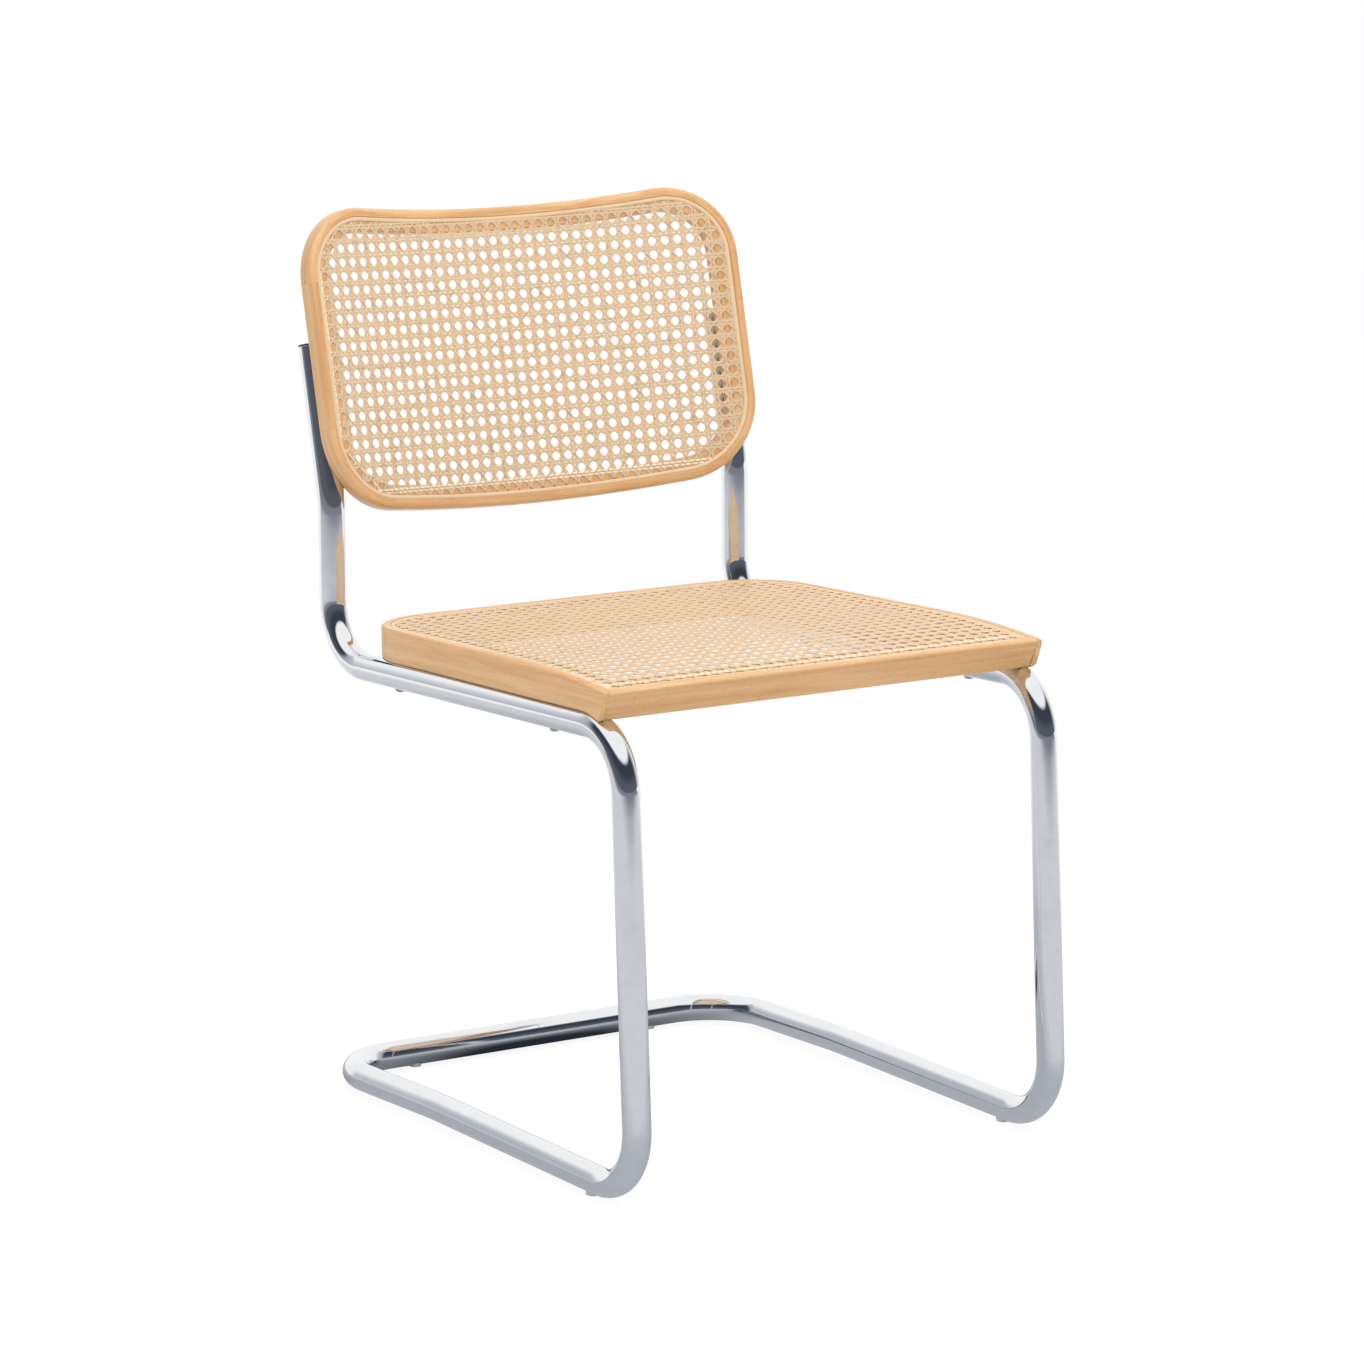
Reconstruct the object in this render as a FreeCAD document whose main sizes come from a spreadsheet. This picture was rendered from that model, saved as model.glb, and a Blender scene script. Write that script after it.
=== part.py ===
import FreeCAD, Part

import math
import os

from FreeCAD import Placement, Rotation, Vector

os.makedirs("parts", exist_ok=True)
doc = FreeCAD.newDocument("cantilever_chair")

# Driving dimensions, millimetres and degrees. The chair faces -Y and stands on z = 0.
SIZES = {
    # steel tube
    "tube_od": 25.0,
    "tube_wall": 2.0,
    "tube_spacing": 440.0,
    "bend_radius": 55.0,
    "corner_radius": 62.0,
    "kink_radius": 120.0,
    "runner_kink_radius": 300.0,
    # side view of the tube's centre line, from corner to corner
    "front_reach": 292.2,
    "foot_ahead": 28.0,
    "rail_height": 412.0,
    "rail_length": 478.0,
    "rail_drop": 18.0,
    "upright_height": 146.0,
    "upright_setback": 4.0,
    "recline": 14.1,
    "upright_above_kink": 140.0,
    "runner_length": 514.0,
    "runner_to_kink": 329.0,
    "runner_lift": 4.2,
    # splice in the rear bar
    "sleeve_length": 90.0,
    "sleeve_wall": 3.0,
    "splice_screw_pitch": 50.0,
    "splice_screw_dia": 5.0,
    "splice_screw_length": 7.0,
    # plugs and glides
    "plug_head": 1.8,
    "plug_stem": 16.0,
    "glide_dia": 18.0,
    "glide_below_tube": 1.5,
    "glide_saddle": 2.2,
    "glide_stem_dia": 5.0,
    "glide_stem": 6.0,
    "glide_from_foot": 72.0,
    "glide_from_side": 90.0,
    # seat frame, in axes whose y runs along the rails from their rear corner
    "seat_side_front": 11.0,
    "seat_side_rear": 6.0,
    "seat_rear_inset": 45.1,
    "seat_overhang": 40.6,
    "seat_front_setback": 11.5,
    "seat_thickness": 30.0,
    "seat_bed": 1.0,
    "seat_corner": 70.0,
    "seat_rail_width": 34.0,
    "seat_fall": 9.0,
    "seat_fall_run": 140.0,
    "seat_edge_round": 3.0,
    "seat_lip": 5.5,
    "seat_screw_front": 94.5,
    "seat_screw_rear": 71.0,
    # backrest frame, in reclined axes whose origin is the kink of the uprights
    "back_side": 12.0,
    "back_bottom": -15.2,
    "back_top": 260.5,
    "back_bottom_dip": 5.4,
    "back_top_dip": 6.0,
    "back_curve": 780.0,
    "back_thickness": 22.0,
    "back_forward": 20.0,
    "back_top_corner": 66.5,
    "back_bottom_corner": 76.0,
    "back_rail_width": 22.0,
    "back_edge_round": 5.0,
    "back_inner_round": 8.0,
    "back_screw_low": 42.0,
    "back_screw_high": 118.0,
    # cane panels
    "rim": 8.5,
    "spline_width": 4.0,
    "spline_depth": 6.0,
    "cane_thickness": 1.6,
    "cane_pitch": 25.4,
    "cane_hole": 16.0,
    # fixings
    "screw_dia": 5.0,
    "screw_head_dia": 10.0,
    "screw_head": 3.0,
    "seat_screw_in_wood": 17.0,
    "back_screw_in_wood": 11.0,
    "washer_dia": 12.0,
    "washer_under_tube": 1.0,
    "washer_height": 2.4,
    "dowel_dia": 6.0,
    "dowel_length": 30.0,
    "seat_dowel_inset": 8.0,
    "seat_dowel_pitch": 12.0,
    "back_dowel_pitch": 10.0,
    # clearance between pieces that fit together, and how far a cut runs past a face
    "fit_gap": 0.1,
    "overcut": 1.0,
}

sheet = doc.addObject("Spreadsheet::Sheet", "Sizes")
for row, (name, value) in enumerate(SIZES.items(), start=1):
    sheet.set("A%d" % row, name)
    sheet.set("B%d" % row, str(value))
    sheet.setAlias("B%d" % row, name)
doc.recompute()


def size(name):
    """A driving dimension, read back from the sheet."""
    return float(sheet.get(name))


UP = Vector(0, 0, 1)
FORWARD = Vector(0, -1, 0)
tube_radius = size("tube_od") / 2
half_spacing = size("tube_spacing") / 2
ground_gap = size("glide_below_tube")
bar_z = tube_radius + ground_gap
clear = size("fit_gap")
overcut = size("overcut")
nodes = []


def bind(item, **expressions):
    """Bind an object's sizes to cells of the sheet."""
    for prop, text in expressions.items():
        item.setExpression(prop, text)
    return item


def named(item, label):
    """Give a sub-part the name that its file gets."""
    item.Label = label
    nodes.append(item)
    return item


def cylinder(name, radius, height, base, axis=UP):
    """A cylinder with bound sizes, from its base point along its axis."""
    item = bind(doc.addObject("Part::Cylinder", name), Radius=radius, Height=height)
    item.Placement = Placement(base, Rotation(UP, axis))
    return item


def boolean(kind, name, base, tool):
    item = doc.addObject("Part::" + kind, name)
    item.Base = base
    item.Tool = tool
    return item


def fused(name, items):
    item = doc.addObject("Part::MultiFuse", name)
    item.Shapes = items
    return item


def feature(name, shape, placement=None):
    """A solid that needs free-form construction, with its own placement."""
    item = doc.addObject("Part::Feature", name)
    item.Shape = shape
    if placement is not None:
        item.Placement = placement
    return item


def rounded_edges(points, radii, closed=False):
    """Straight runs joined by tangent arcs, one radius to each corner point."""
    count = len(points)
    corners = {}
    for i in range(count) if closed else range(1, count - 1):
        if radii[i] <= 0:
            continue
        to_prev = (points[i - 1] - points[i]).normalize()
        to_next = (points[(i + 1) % count] - points[i]).normalize()
        half = to_prev.getAngle(to_next) / 2
        reach = radii[i] / math.tan(half)
        inward = (to_prev + to_next).normalize()
        centre = points[i] + inward * (radii[i] / math.sin(half))
        corners[i] = (
            points[i] + to_prev * reach,
            centre - inward * radii[i],
            points[i] + to_next * reach,
        )
    edges = []
    for i in range(count if closed else count - 1):
        j = (i + 1) % count
        start = corners[i][2] if i in corners else points[i]
        end = corners[j][0] if j in corners else points[j]
        if start.distanceToPoint(end) > 1e-6:
            edges.append(Part.LineSegment(start, end).toShape())
        if j in corners:
            edges.append(Part.Arc(*corners[j]).toShape())
    return edges


def prism(edges, depth):
    """A closed plane outline pushed along a vector."""
    return Part.Face(Part.Wire(edges)).extrude(depth)


# Steel frame: two bent halves that meet in the middle of the rear bar
foot_y = -size("front_reach")
rail_front = Vector(0, foot_y + size("foot_ahead"), size("rail_height") + ground_gap)
rail_rear = rail_front + Vector(0, size("rail_length"), -size("rail_drop"))
kink_point = rail_rear + Vector(0, size("upright_setback"), size("upright_height"))
rear_bar_y = foot_y + size("runner_length")
recline = math.radians(size("recline"))
upright_axis = Vector(0, math.sin(recline), math.cos(recline))


def frame_points(side):
    """Corner points of one half's centre line, from the upright's top to the splice."""
    aside = Vector(side * half_spacing, 0, 0)
    runner_kink = foot_y + size("runner_to_kink")
    return [
        aside + kink_point + upright_axis * size("upright_above_kink"),
        aside + kink_point,
        aside + rail_rear,
        aside + rail_front,
        aside + Vector(0, foot_y, bar_z),
        aside + Vector(0, runner_kink, bar_z + size("runner_lift")),
        aside + Vector(0, rear_bar_y, bar_z),
        Vector(0, rear_bar_y, bar_z),
    ]


bend = size("bend_radius")
frame_radii = [
    0,
    size("kink_radius"),
    bend,
    bend,
    bend,
    size("runner_kink_radius"),
    size("corner_radius"),
    0,
]


def swept(name, path, radius):
    """A round bar along the frame's centre line."""
    ring = bind(doc.addObject("Part::Circle", name + "_section"), Radius=radius)
    ring.Placement = Placement(path.Shape.Vertexes[0].Point, Rotation(UP, upright_axis))
    item = doc.addObject("Part::Sweep", name)
    item.Sections = [ring]
    item.Spine = (path, ["Edge%d" % (i + 1) for i in range(len(path.Shape.Edges))])
    item.Solid = True
    return item


# The seat's own axes start at the rails' rear corner, and the backrest's at the uprights' kink
rail_tilt = math.degrees(math.atan2(size("rail_drop"), size("rail_length")))
seat_place = Placement(rail_rear, Rotation(Vector(1, 0, 0), -rail_tilt))
back_place = Placement(kink_point, Rotation(Vector(1, 0, 0), -size("recline")))
seat_up = seat_place.Rotation.multVec(UP)
back_front = back_place.Rotation.multVec(FORWARD)


def bend_start():
    """Where the rail starts to bend down into the front leg, along the seat's own y."""
    points = frame_points(1)
    to_rear = points[2] - points[3]
    to_foot = points[4] - points[3]
    return bend / math.tan(to_rear.getAngle(to_foot) / 2) - to_rear.Length


seat_front = bend_start() - size("seat_overhang")
seat_back = -size("seat_rear_inset")


def seat_screw_points(side):
    x = side * half_spacing
    return [
        Vector(x, seat_front + size("seat_screw_front"), 0),
        Vector(x, seat_back - size("seat_screw_rear"), 0),
    ]


def back_screw_points(side):
    x = side * half_spacing
    return [Vector(x, 0, size("back_screw_low")), Vector(x, 0, size("back_screw_high"))]


# The runner climbs a little from the foot to its kink, so the front glides are taller
FRONT_RISE = "Sizes.runner_lift * Sizes.glide_from_foot / Sizes.runner_to_kink"


def glide_points(side):
    """Where the tube's centre is over the glides: on the runner, and on the rear bar."""
    rise = size("runner_lift") * size("glide_from_foot") / size("runner_to_kink")
    inner = half_spacing - size("glide_from_side")
    return {
        "front": Vector(side * half_spacing, foot_y + size("glide_from_foot"), bar_z + rise),
        "rear": Vector(side * inner, rear_bar_y, bar_z),
    }


def frame_half(side, word):
    """One bent half of the frame, hollow and drilled. Gives back its filled outer form."""
    path = feature("path_" + word, Part.Wire(rounded_edges(frame_points(side), frame_radii)))
    outer = swept("bar_" + word, path, "Sizes.tube_od / 2")
    inner = swept("bore_" + word, path, "Sizes.tube_od / 2 - Sizes.tube_wall")
    through = "2 * Sizes.tube_od"
    one_wall = "Sizes.tube_od / 2"
    screw_hole = "Sizes.screw_dia / 2 + Sizes.fit_gap"
    holes = []
    for i, point in enumerate(seat_screw_points(side)):
        base = seat_place.multVec(point - UP * size("tube_od"))
        holes.append(cylinder("seat_hole_%s_%d" % (word, i), screw_hole, through, base, seat_up))
    for i, point in enumerate(back_screw_points(side)):
        base = back_place.multVec(point - FORWARD * size("tube_od"))
        holes.append(cylinder("back_hole_%s_%d" % (word, i), screw_hole, through, base, back_front))
    below = UP * (tube_radius + overcut)
    for place_word, point in glide_points(side).items():
        holes.append(cylinder(
            "glide_hole_%s_%s" % (place_word, word),
            "Sizes.glide_stem_dia / 2 + Sizes.fit_gap",
            one_wall,
            point - below,
        ))
    holes.append(cylinder(
        "splice_hole_" + word,
        "Sizes.splice_screw_dia / 2 + Sizes.fit_gap",
        one_wall,
        splice_point(side) - below,
    ))
    tools = fused("holes_" + word, [inner] + holes)
    named(boolean("Cut", "half_" + word, outer, tools), "frame_half_" + word)
    return outer


def splice_point(side):
    """Centre of the rear bar over a splice screw."""
    return Vector(side * size("splice_screw_pitch") / 2, rear_bar_y, bar_z)


bars = {"left": frame_half(-1, "left"), "right": frame_half(1, "right")}
doc.recompute()


def sleeve():
    """A length of thick tube that both halves of the rear bar push onto."""
    start = Vector(-size("sleeve_length") / 2, rear_bar_y, bar_z)
    axis = Vector(1, 0, 0)
    radius = "Sizes.tube_od / 2 - Sizes.tube_wall - Sizes.fit_gap"
    outer = cylinder("sleeve_outer", radius, "Sizes.sleeve_length", start, axis)
    bore = cylinder("sleeve_bore", radius + " - Sizes.sleeve_wall", "Sizes.sleeve_length", start, axis)
    threads = [
        cylinder(
            "sleeve_thread_" + word,
            "Sizes.splice_screw_dia / 2 + Sizes.fit_gap",
            "Sizes.tube_od / 2",
            splice_point(side) - UP * tube_radius,
        )
        for side, word in ((-1, "left"), (1, "right"))
    ]
    tools = fused("sleeve_tools", [bore] + threads)
    named(boolean("Cut", "sleeve", outer, tools), "rear_bar_sleeve")


def grouped(name, label, items):
    """Identical pieces held as one node of separate solids."""
    group = doc.addObject("Part::Compound", name)
    group.Links = items
    return named(group, label)


def splice_screws():
    screws = [
        cylinder(
            "splice_screw_" + word,
            "Sizes.splice_screw_dia / 2",
            "Sizes.splice_screw_length",
            splice_point(side) - UP * tube_radius,
        )
        for side, word in ((-1, "left"), (1, "right"))
    ]
    grouped("splice_screws", "splice_set_screws", screws)


def plug(side, word):
    """A push-in plug that closes the upright's open top."""
    top = frame_points(side)[0]
    head_radius = "Sizes.tube_od / 2 - 2 * Sizes.fit_gap"
    stem_radius = "Sizes.tube_od / 2 - Sizes.tube_wall - Sizes.fit_gap"
    head = cylinder("plug_head_" + word, head_radius, "Sizes.plug_head", top, upright_axis)
    stem = cylinder("plug_stem_" + word, stem_radius, "Sizes.plug_stem", top, upright_axis * -1)
    named(boolean("Fuse", "plug_" + word, head, stem), "end_plug_" + word)


def glide(word, place_word, point):
    """A floor glide: a saddle under the tube with a stem through its wall."""
    tail = "%s_%s" % (place_word, word)
    height = "Sizes.glide_below_tube + Sizes.glide_saddle"
    if place_word == "front":
        height += " + " + FRONT_RISE
    head = cylinder("glide_head_" + tail, "Sizes.glide_dia / 2", height, Vector(point.x, point.y, 0))
    stem = cylinder(
        "glide_stem_" + tail,
        "Sizes.glide_stem_dia / 2",
        "Sizes.glide_stem",
        point - UP * (tube_radius + ground_gap / 2),
    )
    saddle = boolean("Cut", "glide_saddle_" + tail, head, bars[word])
    named(boolean("Fuse", "glide_" + tail, saddle, stem), "floor_glide_" + tail)


# Seat: a bent side-and-back rail and a straight front rail, curved down at the front
seat_bottom = tube_radius - size("seat_bed")
seat_top = seat_bottom + size("seat_thickness")
seat_joint = seat_front + size("seat_rail_width")
fall_start = seat_front + size("seat_fall_run")
fall_radius = (size("seat_fall_run") ** 2 + size("seat_fall") ** 2) / (2 * size("seat_fall"))

# Half the size of the blocks that cut or trim, well past the chair's own width
reach = size("tube_spacing")


def seat_half_width(y):
    """Half width of the seat's plan, which narrows a little towards the rear."""
    share = (y - seat_front) / (seat_back - seat_front)
    side = size("seat_side_front") + share * (size("seat_side_rear") - size("seat_side_front"))
    return half_spacing + side


def seat_plan(inset):
    """The seat's outline seen from above, moved in by an inset, as a tall prism."""
    front = seat_front + inset
    back = seat_back - inset
    wide_front = seat_half_width(front) - inset
    wide_back = seat_half_width(back) - inset
    corners = [
        Vector(-wide_front, front, -reach),
        Vector(wide_front, front, -reach),
        Vector(wide_back, back, -reach),
        Vector(-wide_back, back, -reach),
    ]
    radius = size("seat_corner") - inset
    return prism(rounded_edges(corners, [0, 0, radius, radius], closed=True), UP * 2 * reach)


def top_height(y, depth):
    """Height of the seat's top surface, less a depth, at a distance along the rails."""
    run = max(fall_start - y, 0.0)
    return seat_top - depth - (fall_radius - math.sqrt(fall_radius ** 2 - run ** 2))


def run_of_lines(points):
    return [Part.LineSegment(a, b).toShape() for a, b in zip(points, points[1:])]


def top_line(depth):
    """The seat's top seen from the side, from rear to front: straight, then a falling arc."""
    places = (seat_back + overcut, fall_start, (fall_start + seat_front) / 2, seat_front - overcut)
    points = [Vector(-reach, y, top_height(y, depth)) for y in places]
    return [Part.LineSegment(*points[:2]).toShape(), Part.Arc(*points[1:]).toShape()], points


def seat_layer(upper, lower):
    """The layer between two depths under the seat's top surface."""
    over, over_points = top_line(upper)
    under, under_points = top_line(lower)
    ends = run_of_lines([over_points[0], under_points[0]])
    ends += run_of_lines([over_points[-1], under_points[-1]])
    return prism(Part.__sortEdges__(over + under + ends), Vector(2 * reach, 0, 0))


def seat_block():
    """The seat's whole outer form, before its opening is cut.

    Seen from the side, the underside follows the rail and its bend into the front leg, and
    the front face leans back from the top edge.
    """
    start = bend_start()
    radius = bend + seat_bottom

    def under(y):
        return Vector(-reach, y, math.sqrt(radius ** 2 - (start - y) ** 2) - bend)

    top, points = top_line(0.0)
    low_front = under(seat_front + size("seat_front_setback"))
    rear_foot = Vector(-reach, points[0].y, seat_bottom)
    top_front = Vector(-reach, seat_front, top_height(seat_front, 0.0))
    nose = Part.LineSegment(low_front, top_front).toShape()
    belly = Part.Arc(low_front, under((low_front.y + start) / 2), under(start)).toShape()
    rest = run_of_lines([under(start), rear_foot, points[0]])
    arc = Part.Arc(points[1], Vector(
        -reach, (fall_start + seat_front) / 2, top_height((fall_start + seat_front) / 2, 0.0)
    ), top_front).toShape()
    profile = [top[0], arc, nose, belly] + rest
    form = prism(Part.__sortEdges__(profile), Vector(2 * reach, 0, 0))
    block = form.common(seat_plan(0.0)).removeSplitter()
    rims = [e for e in block.Edges if abs(e.tangentAt(e.FirstParameter).z) < math.sqrt(0.5)]
    return block.makeFillet(size("seat_edge_round"), rims)


def bars_in(place):
    """Both tube halves, filled, in the axes of a tilted frame."""
    back = place.inverse().toMatrix()
    return [bar.Shape.transformGeometry(back) for bar in bars.values()]


def rod(middle, axis, diameter, length):
    return Part.makeCylinder(diameter / 2, length, middle - axis * (length / 2), axis)


def seat_dowel_points():
    """Two dowels across each front joint, half way up the wood."""
    inner = seat_half_width(seat_joint) - size("seat_rail_width") + size("seat_dowel_inset")
    height = (top_height(seat_joint, 0.0) + seat_bottom) / 2
    return [
        Vector(side * (inner + i * size("seat_dowel_pitch")), seat_joint, height)
        for side in (-1, 1) for i in (0, 1)
    ]


def drilled(wood, points, axis, diameter, length):
    for point in points:
        wood = wood.cut(rod(point, axis, diameter + 2 * clear, length + 2 * clear))
    return wood


def seat_wood():
    """Both seat rails, grooved for the cane and drilled for screws and dowels."""
    wood = seat_block().cut(seat_plan(size("seat_rail_width")))
    rebate = seat_plan(size("rim"))
    groove = rebate.cut(seat_plan(size("rim") + size("spline_width")))
    above = -size("seat_thickness")
    wood = wood.cut(rebate.common(seat_layer(above, size("cane_thickness"))))
    wood = wood.cut(groove.common(seat_layer(above, size("spline_depth"))))
    wood = wood.cut(bars_in(seat_place))
    screws = seat_screw_points(-1) + seat_screw_points(1)
    screw_reach = 2 * (seat_bottom + size("seat_screw_in_wood"))
    wood = drilled(wood, screws, UP, size("screw_dia"), screw_reach)
    wood = drilled(wood, seat_dowel_points(), FORWARD, size("dowel_dia"), size("dowel_length"))
    half = half_spacing + size("seat_side_front") - size("seat_lip")
    corner = Vector(-half, seat_joint - reach, -reach)
    front_zone = Part.makeBox(2 * half, reach, 2 * reach, corner)
    named(feature("front_rail", wood.common(front_zone), seat_place), "seat_front_rail")
    named(feature("bent_rail", wood.cut(front_zone), seat_place), "seat_bent_rail")


def dowels(name, points, axis, place):
    pieces = [rod(point, axis, size("dowel_dia"), size("dowel_length")) for point in points]
    named(feature(name, Part.makeCompound(pieces), place), name)


def grid(low, top, pitch):
    """Evenly spaced places, centred between two limits."""
    count = int((top - low) // pitch)
    start = (low + top - (count - 1) * pitch) / 2
    return [start + i * pitch for i in range(count)]


def octagons(centres, axis_u, axis_v, depth):
    """Eight-sided openings of the weave, as prisms."""
    half = size("cane_hole") / 2
    short = half * (math.sqrt(2) - 1)
    ring = [
        (half, short), (short, half), (-short, half), (-half, short),
        (-half, -short), (-short, -half), (short, -half), (half, -short),
    ]
    holes = []
    for centre in centres:
        points = [centre + axis_u * u + axis_v * v for u, v in ring]
        holes.append(Part.Face(Part.makePolygon(points + points[:1])).extrude(depth))
    return Part.makeCompound(holes)


def outside_corner(past, aside, radius):
    """Whether a hole's centre, so far past two corner lines, lies too near a round corner."""
    room = radius - size("cane_pitch") / 2
    return past > 0 and aside > 0 and math.hypot(past, aside) > room


def seat_cane():
    """The woven panel, held by a spline pressed into the groove round it."""
    edge = size("rim") + size("spline_width") + clear
    panel = seat_plan(edge).common(seat_layer(clear, size("cane_thickness")))
    width = size("seat_rail_width")
    corner = size("seat_corner") - width
    centres = []
    for y in grid(seat_front + width, seat_back - width, size("cane_pitch")):
        half = seat_half_width(y) - width
        for x in grid(-half, half, size("cane_pitch")):
            past = y - (seat_back - width - corner)
            aside = abs(x) - (half - corner)
            if not outside_corner(past, aside, corner):
                centres.append(Vector(x, y, -reach))
    holes = octagons(centres, Vector(1, 0, 0), Vector(0, 1, 0), UP * 2 * reach)
    named(feature("seat_net", panel.cut(holes), seat_place), "seat_cane")
    outer = seat_plan(size("rim") + clear)
    ring = outer.cut(seat_plan(size("rim") + size("spline_width") - clear))
    strip = ring.common(seat_layer(0.0, size("spline_depth") - clear))
    named(feature("seat_strip", strip, seat_place), "seat_spline")


# Backrest: a curved panel of four rails with a caned opening
back_half = half_spacing + size("back_side")
back_low = size("back_bottom")
back_high = size("back_top")
back_middle = size("back_curve")
back_centre_y = -size("back_forward") - math.sqrt(back_middle ** 2 - half_spacing ** 2)
back_face = back_middle - size("back_thickness") / 2
back_rear = back_middle + size("back_thickness") / 2
back_low_joint = back_low + size("back_bottom_corner")
back_high_joint = back_high - size("back_top_corner")


def on_curve(radius, x, height):
    """A point on one of the backrest's upright, sitter-centred curves."""
    return Vector(x, back_centre_y + math.sqrt(radius ** 2 - x ** 2), height)


def back_layer(inner, outer):
    """The layer between two radii of the backrest's curve."""
    wide = back_half + overcut
    low = back_low - size("back_bottom_dip") - overcut
    ends = [[on_curve(radius, x, low) for x in (-wide, 0, wide)] for radius in (inner, outer)]
    edges = [Part.Arc(*points).toShape() for points in ends]
    edges += run_of_lines([ends[0][0], ends[1][0]])
    edges += run_of_lines([ends[0][2], ends[1][2]])
    return prism(Part.__sortEdges__(edges), UP * (back_high - low + overcut))


def sagging_edge(joint, corner, dip, upper, inset):
    """One end of the backrest's outline: two corner arcs and the wide arc that sags between them.

    Both ends sag downward in the middle, so the wide arc's centre is above either of them. It
    touches the corner arcs from outside at the top, and from inside at the bottom.
    """
    aside = back_half - corner
    between = (aside ** 2 + dip ** 2) / (2 * dip)
    rise = math.sqrt(between ** 2 - aside ** 2)
    slope = Vector(aside, 0, -rise).normalize() * (-1 if upper else 1)
    wide = between - corner + inset if upper else between + corner - inset
    radius = corner - inset
    centre = Vector(aside, -reach, joint)
    touch = centre + slope * radius
    half_way = centre + (Vector(1, 0, 0) + slope).normalize() * radius
    start = centre + Vector(radius, 0, 0)
    middle = Vector(0, -reach, joint + rise - wide)

    def mirrored(point):
        return Vector(-point.x, point.y, point.z)

    return [
        Part.Arc(start, half_way, touch).toShape(),
        Part.Arc(touch, middle, mirrored(touch)).toShape(),
        Part.Arc(mirrored(touch), mirrored(half_way), mirrored(start)).toShape(),
    ]


def back_plan(inset):
    """The backrest's outline seen from the front, moved in by an inset, as a deep prism."""
    half = back_half - inset
    edges = sagging_edge(
        back_low_joint, size("back_bottom_corner"), size("back_bottom_dip"), False, inset
    )
    edges += sagging_edge(back_high_joint, size("back_top_corner"), size("back_top_dip"), True, inset)
    for x in (-half, half):
        edges += run_of_lines([Vector(x, -reach, back_low_joint), Vector(x, -reach, back_high_joint)])
    return prism(Part.__sortEdges__(edges), Vector(0, 2 * reach, 0))


def curve_radius(edge):
    """How far the middle of an edge is from the axis of the backrest's curve."""
    point = edge.valueAt((edge.FirstParameter + edge.LastParameter) / 2)
    return math.hypot(point.x, point.y - back_centre_y)


def back_block():
    """The backrest's whole outer form, before its opening is cut."""
    block = back_layer(back_face, back_rear).common(back_plan(0.0)).removeSplitter()

    def on_face(edge):
        radius = curve_radius(edge)
        return min(abs(radius - back_face), abs(radius - back_rear)) < clear

    return block.makeFillet(size("back_edge_round"), [e for e in block.Edges if on_face(e)])


def back_ring():
    """The backrest's outer form with its opening, whose rear edge is well rounded."""
    opening = back_plan(size("back_rail_width"))
    ring = back_block().cut(opening)
    near_opening = back_plan(size("back_rail_width") - clear)

    def round_opening(edge):
        point = edge.valueAt((edge.FirstParameter + edge.LastParameter) / 2)
        inside = near_opening.isInside(point, clear / 10, True)
        return inside and abs(curve_radius(edge) - back_rear) < clear

    return ring.makeFillet(size("back_inner_round"), [e for e in ring.Edges if round_opening(e)])


def back_dowel_points():
    """Two dowels across each of the four joints, side by side in the wood."""
    middle = back_half - size("back_rail_width") / 2
    return [
        on_curve(back_middle, side * (middle + step * size("back_dowel_pitch")), height)
        for height in (back_low_joint, back_high_joint)
        for side in (-1, 1)
        for step in (-0.5, 0.5)
    ]


def back_wood():
    """The four backrest rails, grooved for cane and tubes and drilled."""
    wood = back_ring()
    rebate = back_plan(size("rim"))
    groove = rebate.cut(back_plan(size("rim") + size("spline_width")))
    before = back_face - size("back_thickness")
    wood = wood.cut(rebate.common(back_layer(before, back_face + size("cane_thickness"))))
    wood = wood.cut(groove.common(back_layer(before, back_face + size("spline_depth"))))
    wood = wood.cut(bars_in(back_place))
    screws = back_screw_points(-1) + back_screw_points(1)
    screw_reach = 2 * (tube_radius + size("back_screw_in_wood"))
    wood = drilled(wood, screws, FORWARD, size("screw_dia"), screw_reach)
    wood = drilled(wood, back_dowel_points(), UP, size("dowel_dia"), size("dowel_length"))
    plug_room = 2 * (size("plug_head") + overcut)
    for x in (-half_spacing, half_spacing):
        top = Vector(x, 0, size("upright_above_kink"))
        wood = wood.cut(rod(top, UP, size("tube_od"), plug_room))
    middle = back_high_joint - back_low_joint
    low_corner = Vector(-reach, -reach, back_low_joint)
    zones = {
        "back_bottom_rail": Part.makeBox(2 * reach, 2 * reach, reach, low_corner - UP * reach),
        "back_top_rail": Part.makeBox(2 * reach, 2 * reach, reach, low_corner + UP * middle),
        "back_stile_left": Part.makeBox(reach, 2 * reach, middle, low_corner),
        "back_stile_right": Part.makeBox(
            reach, 2 * reach, middle, low_corner + Vector(reach, 0, 0)
        ),
    }
    for name, zone in zones.items():
        named(feature(name, wood.common(zone), back_place), name)


def back_cane():
    """The woven panel of the backrest and the spline that holds it."""
    edge = size("rim") + size("spline_width") + clear
    panel = back_plan(edge).common(back_layer(back_face + clear, back_face + size("cane_thickness")))
    width = size("back_rail_width")
    half = back_half - width
    low = back_low - size("back_bottom_dip") + width
    top = back_high - size("back_top_dip") - width
    centres = []
    for z in grid(low, top, size("cane_pitch")):
        nearer = "back_bottom_corner" if z < (low + top) / 2 else "back_top_corner"
        corner = size(nearer) - width
        past = max(back_low_joint - z, z - back_high_joint)
        for x in grid(-half, half, size("cane_pitch")):
            if not outside_corner(past, abs(x) - (half - corner), corner):
                centres.append(Vector(x, -reach, z))
    holes = octagons(centres, Vector(1, 0, 0), UP, Vector(0, 2 * reach, 0))
    named(feature("back_net", panel.cut(holes), back_place), "back_cane")
    outer = back_plan(size("rim") + clear)
    ring = outer.cut(back_plan(size("rim") + size("spline_width") - clear))
    strip = ring.common(back_layer(back_face, back_face + size("spline_depth") - clear))
    named(feature("back_strip", strip, back_place), "back_spline")


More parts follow.
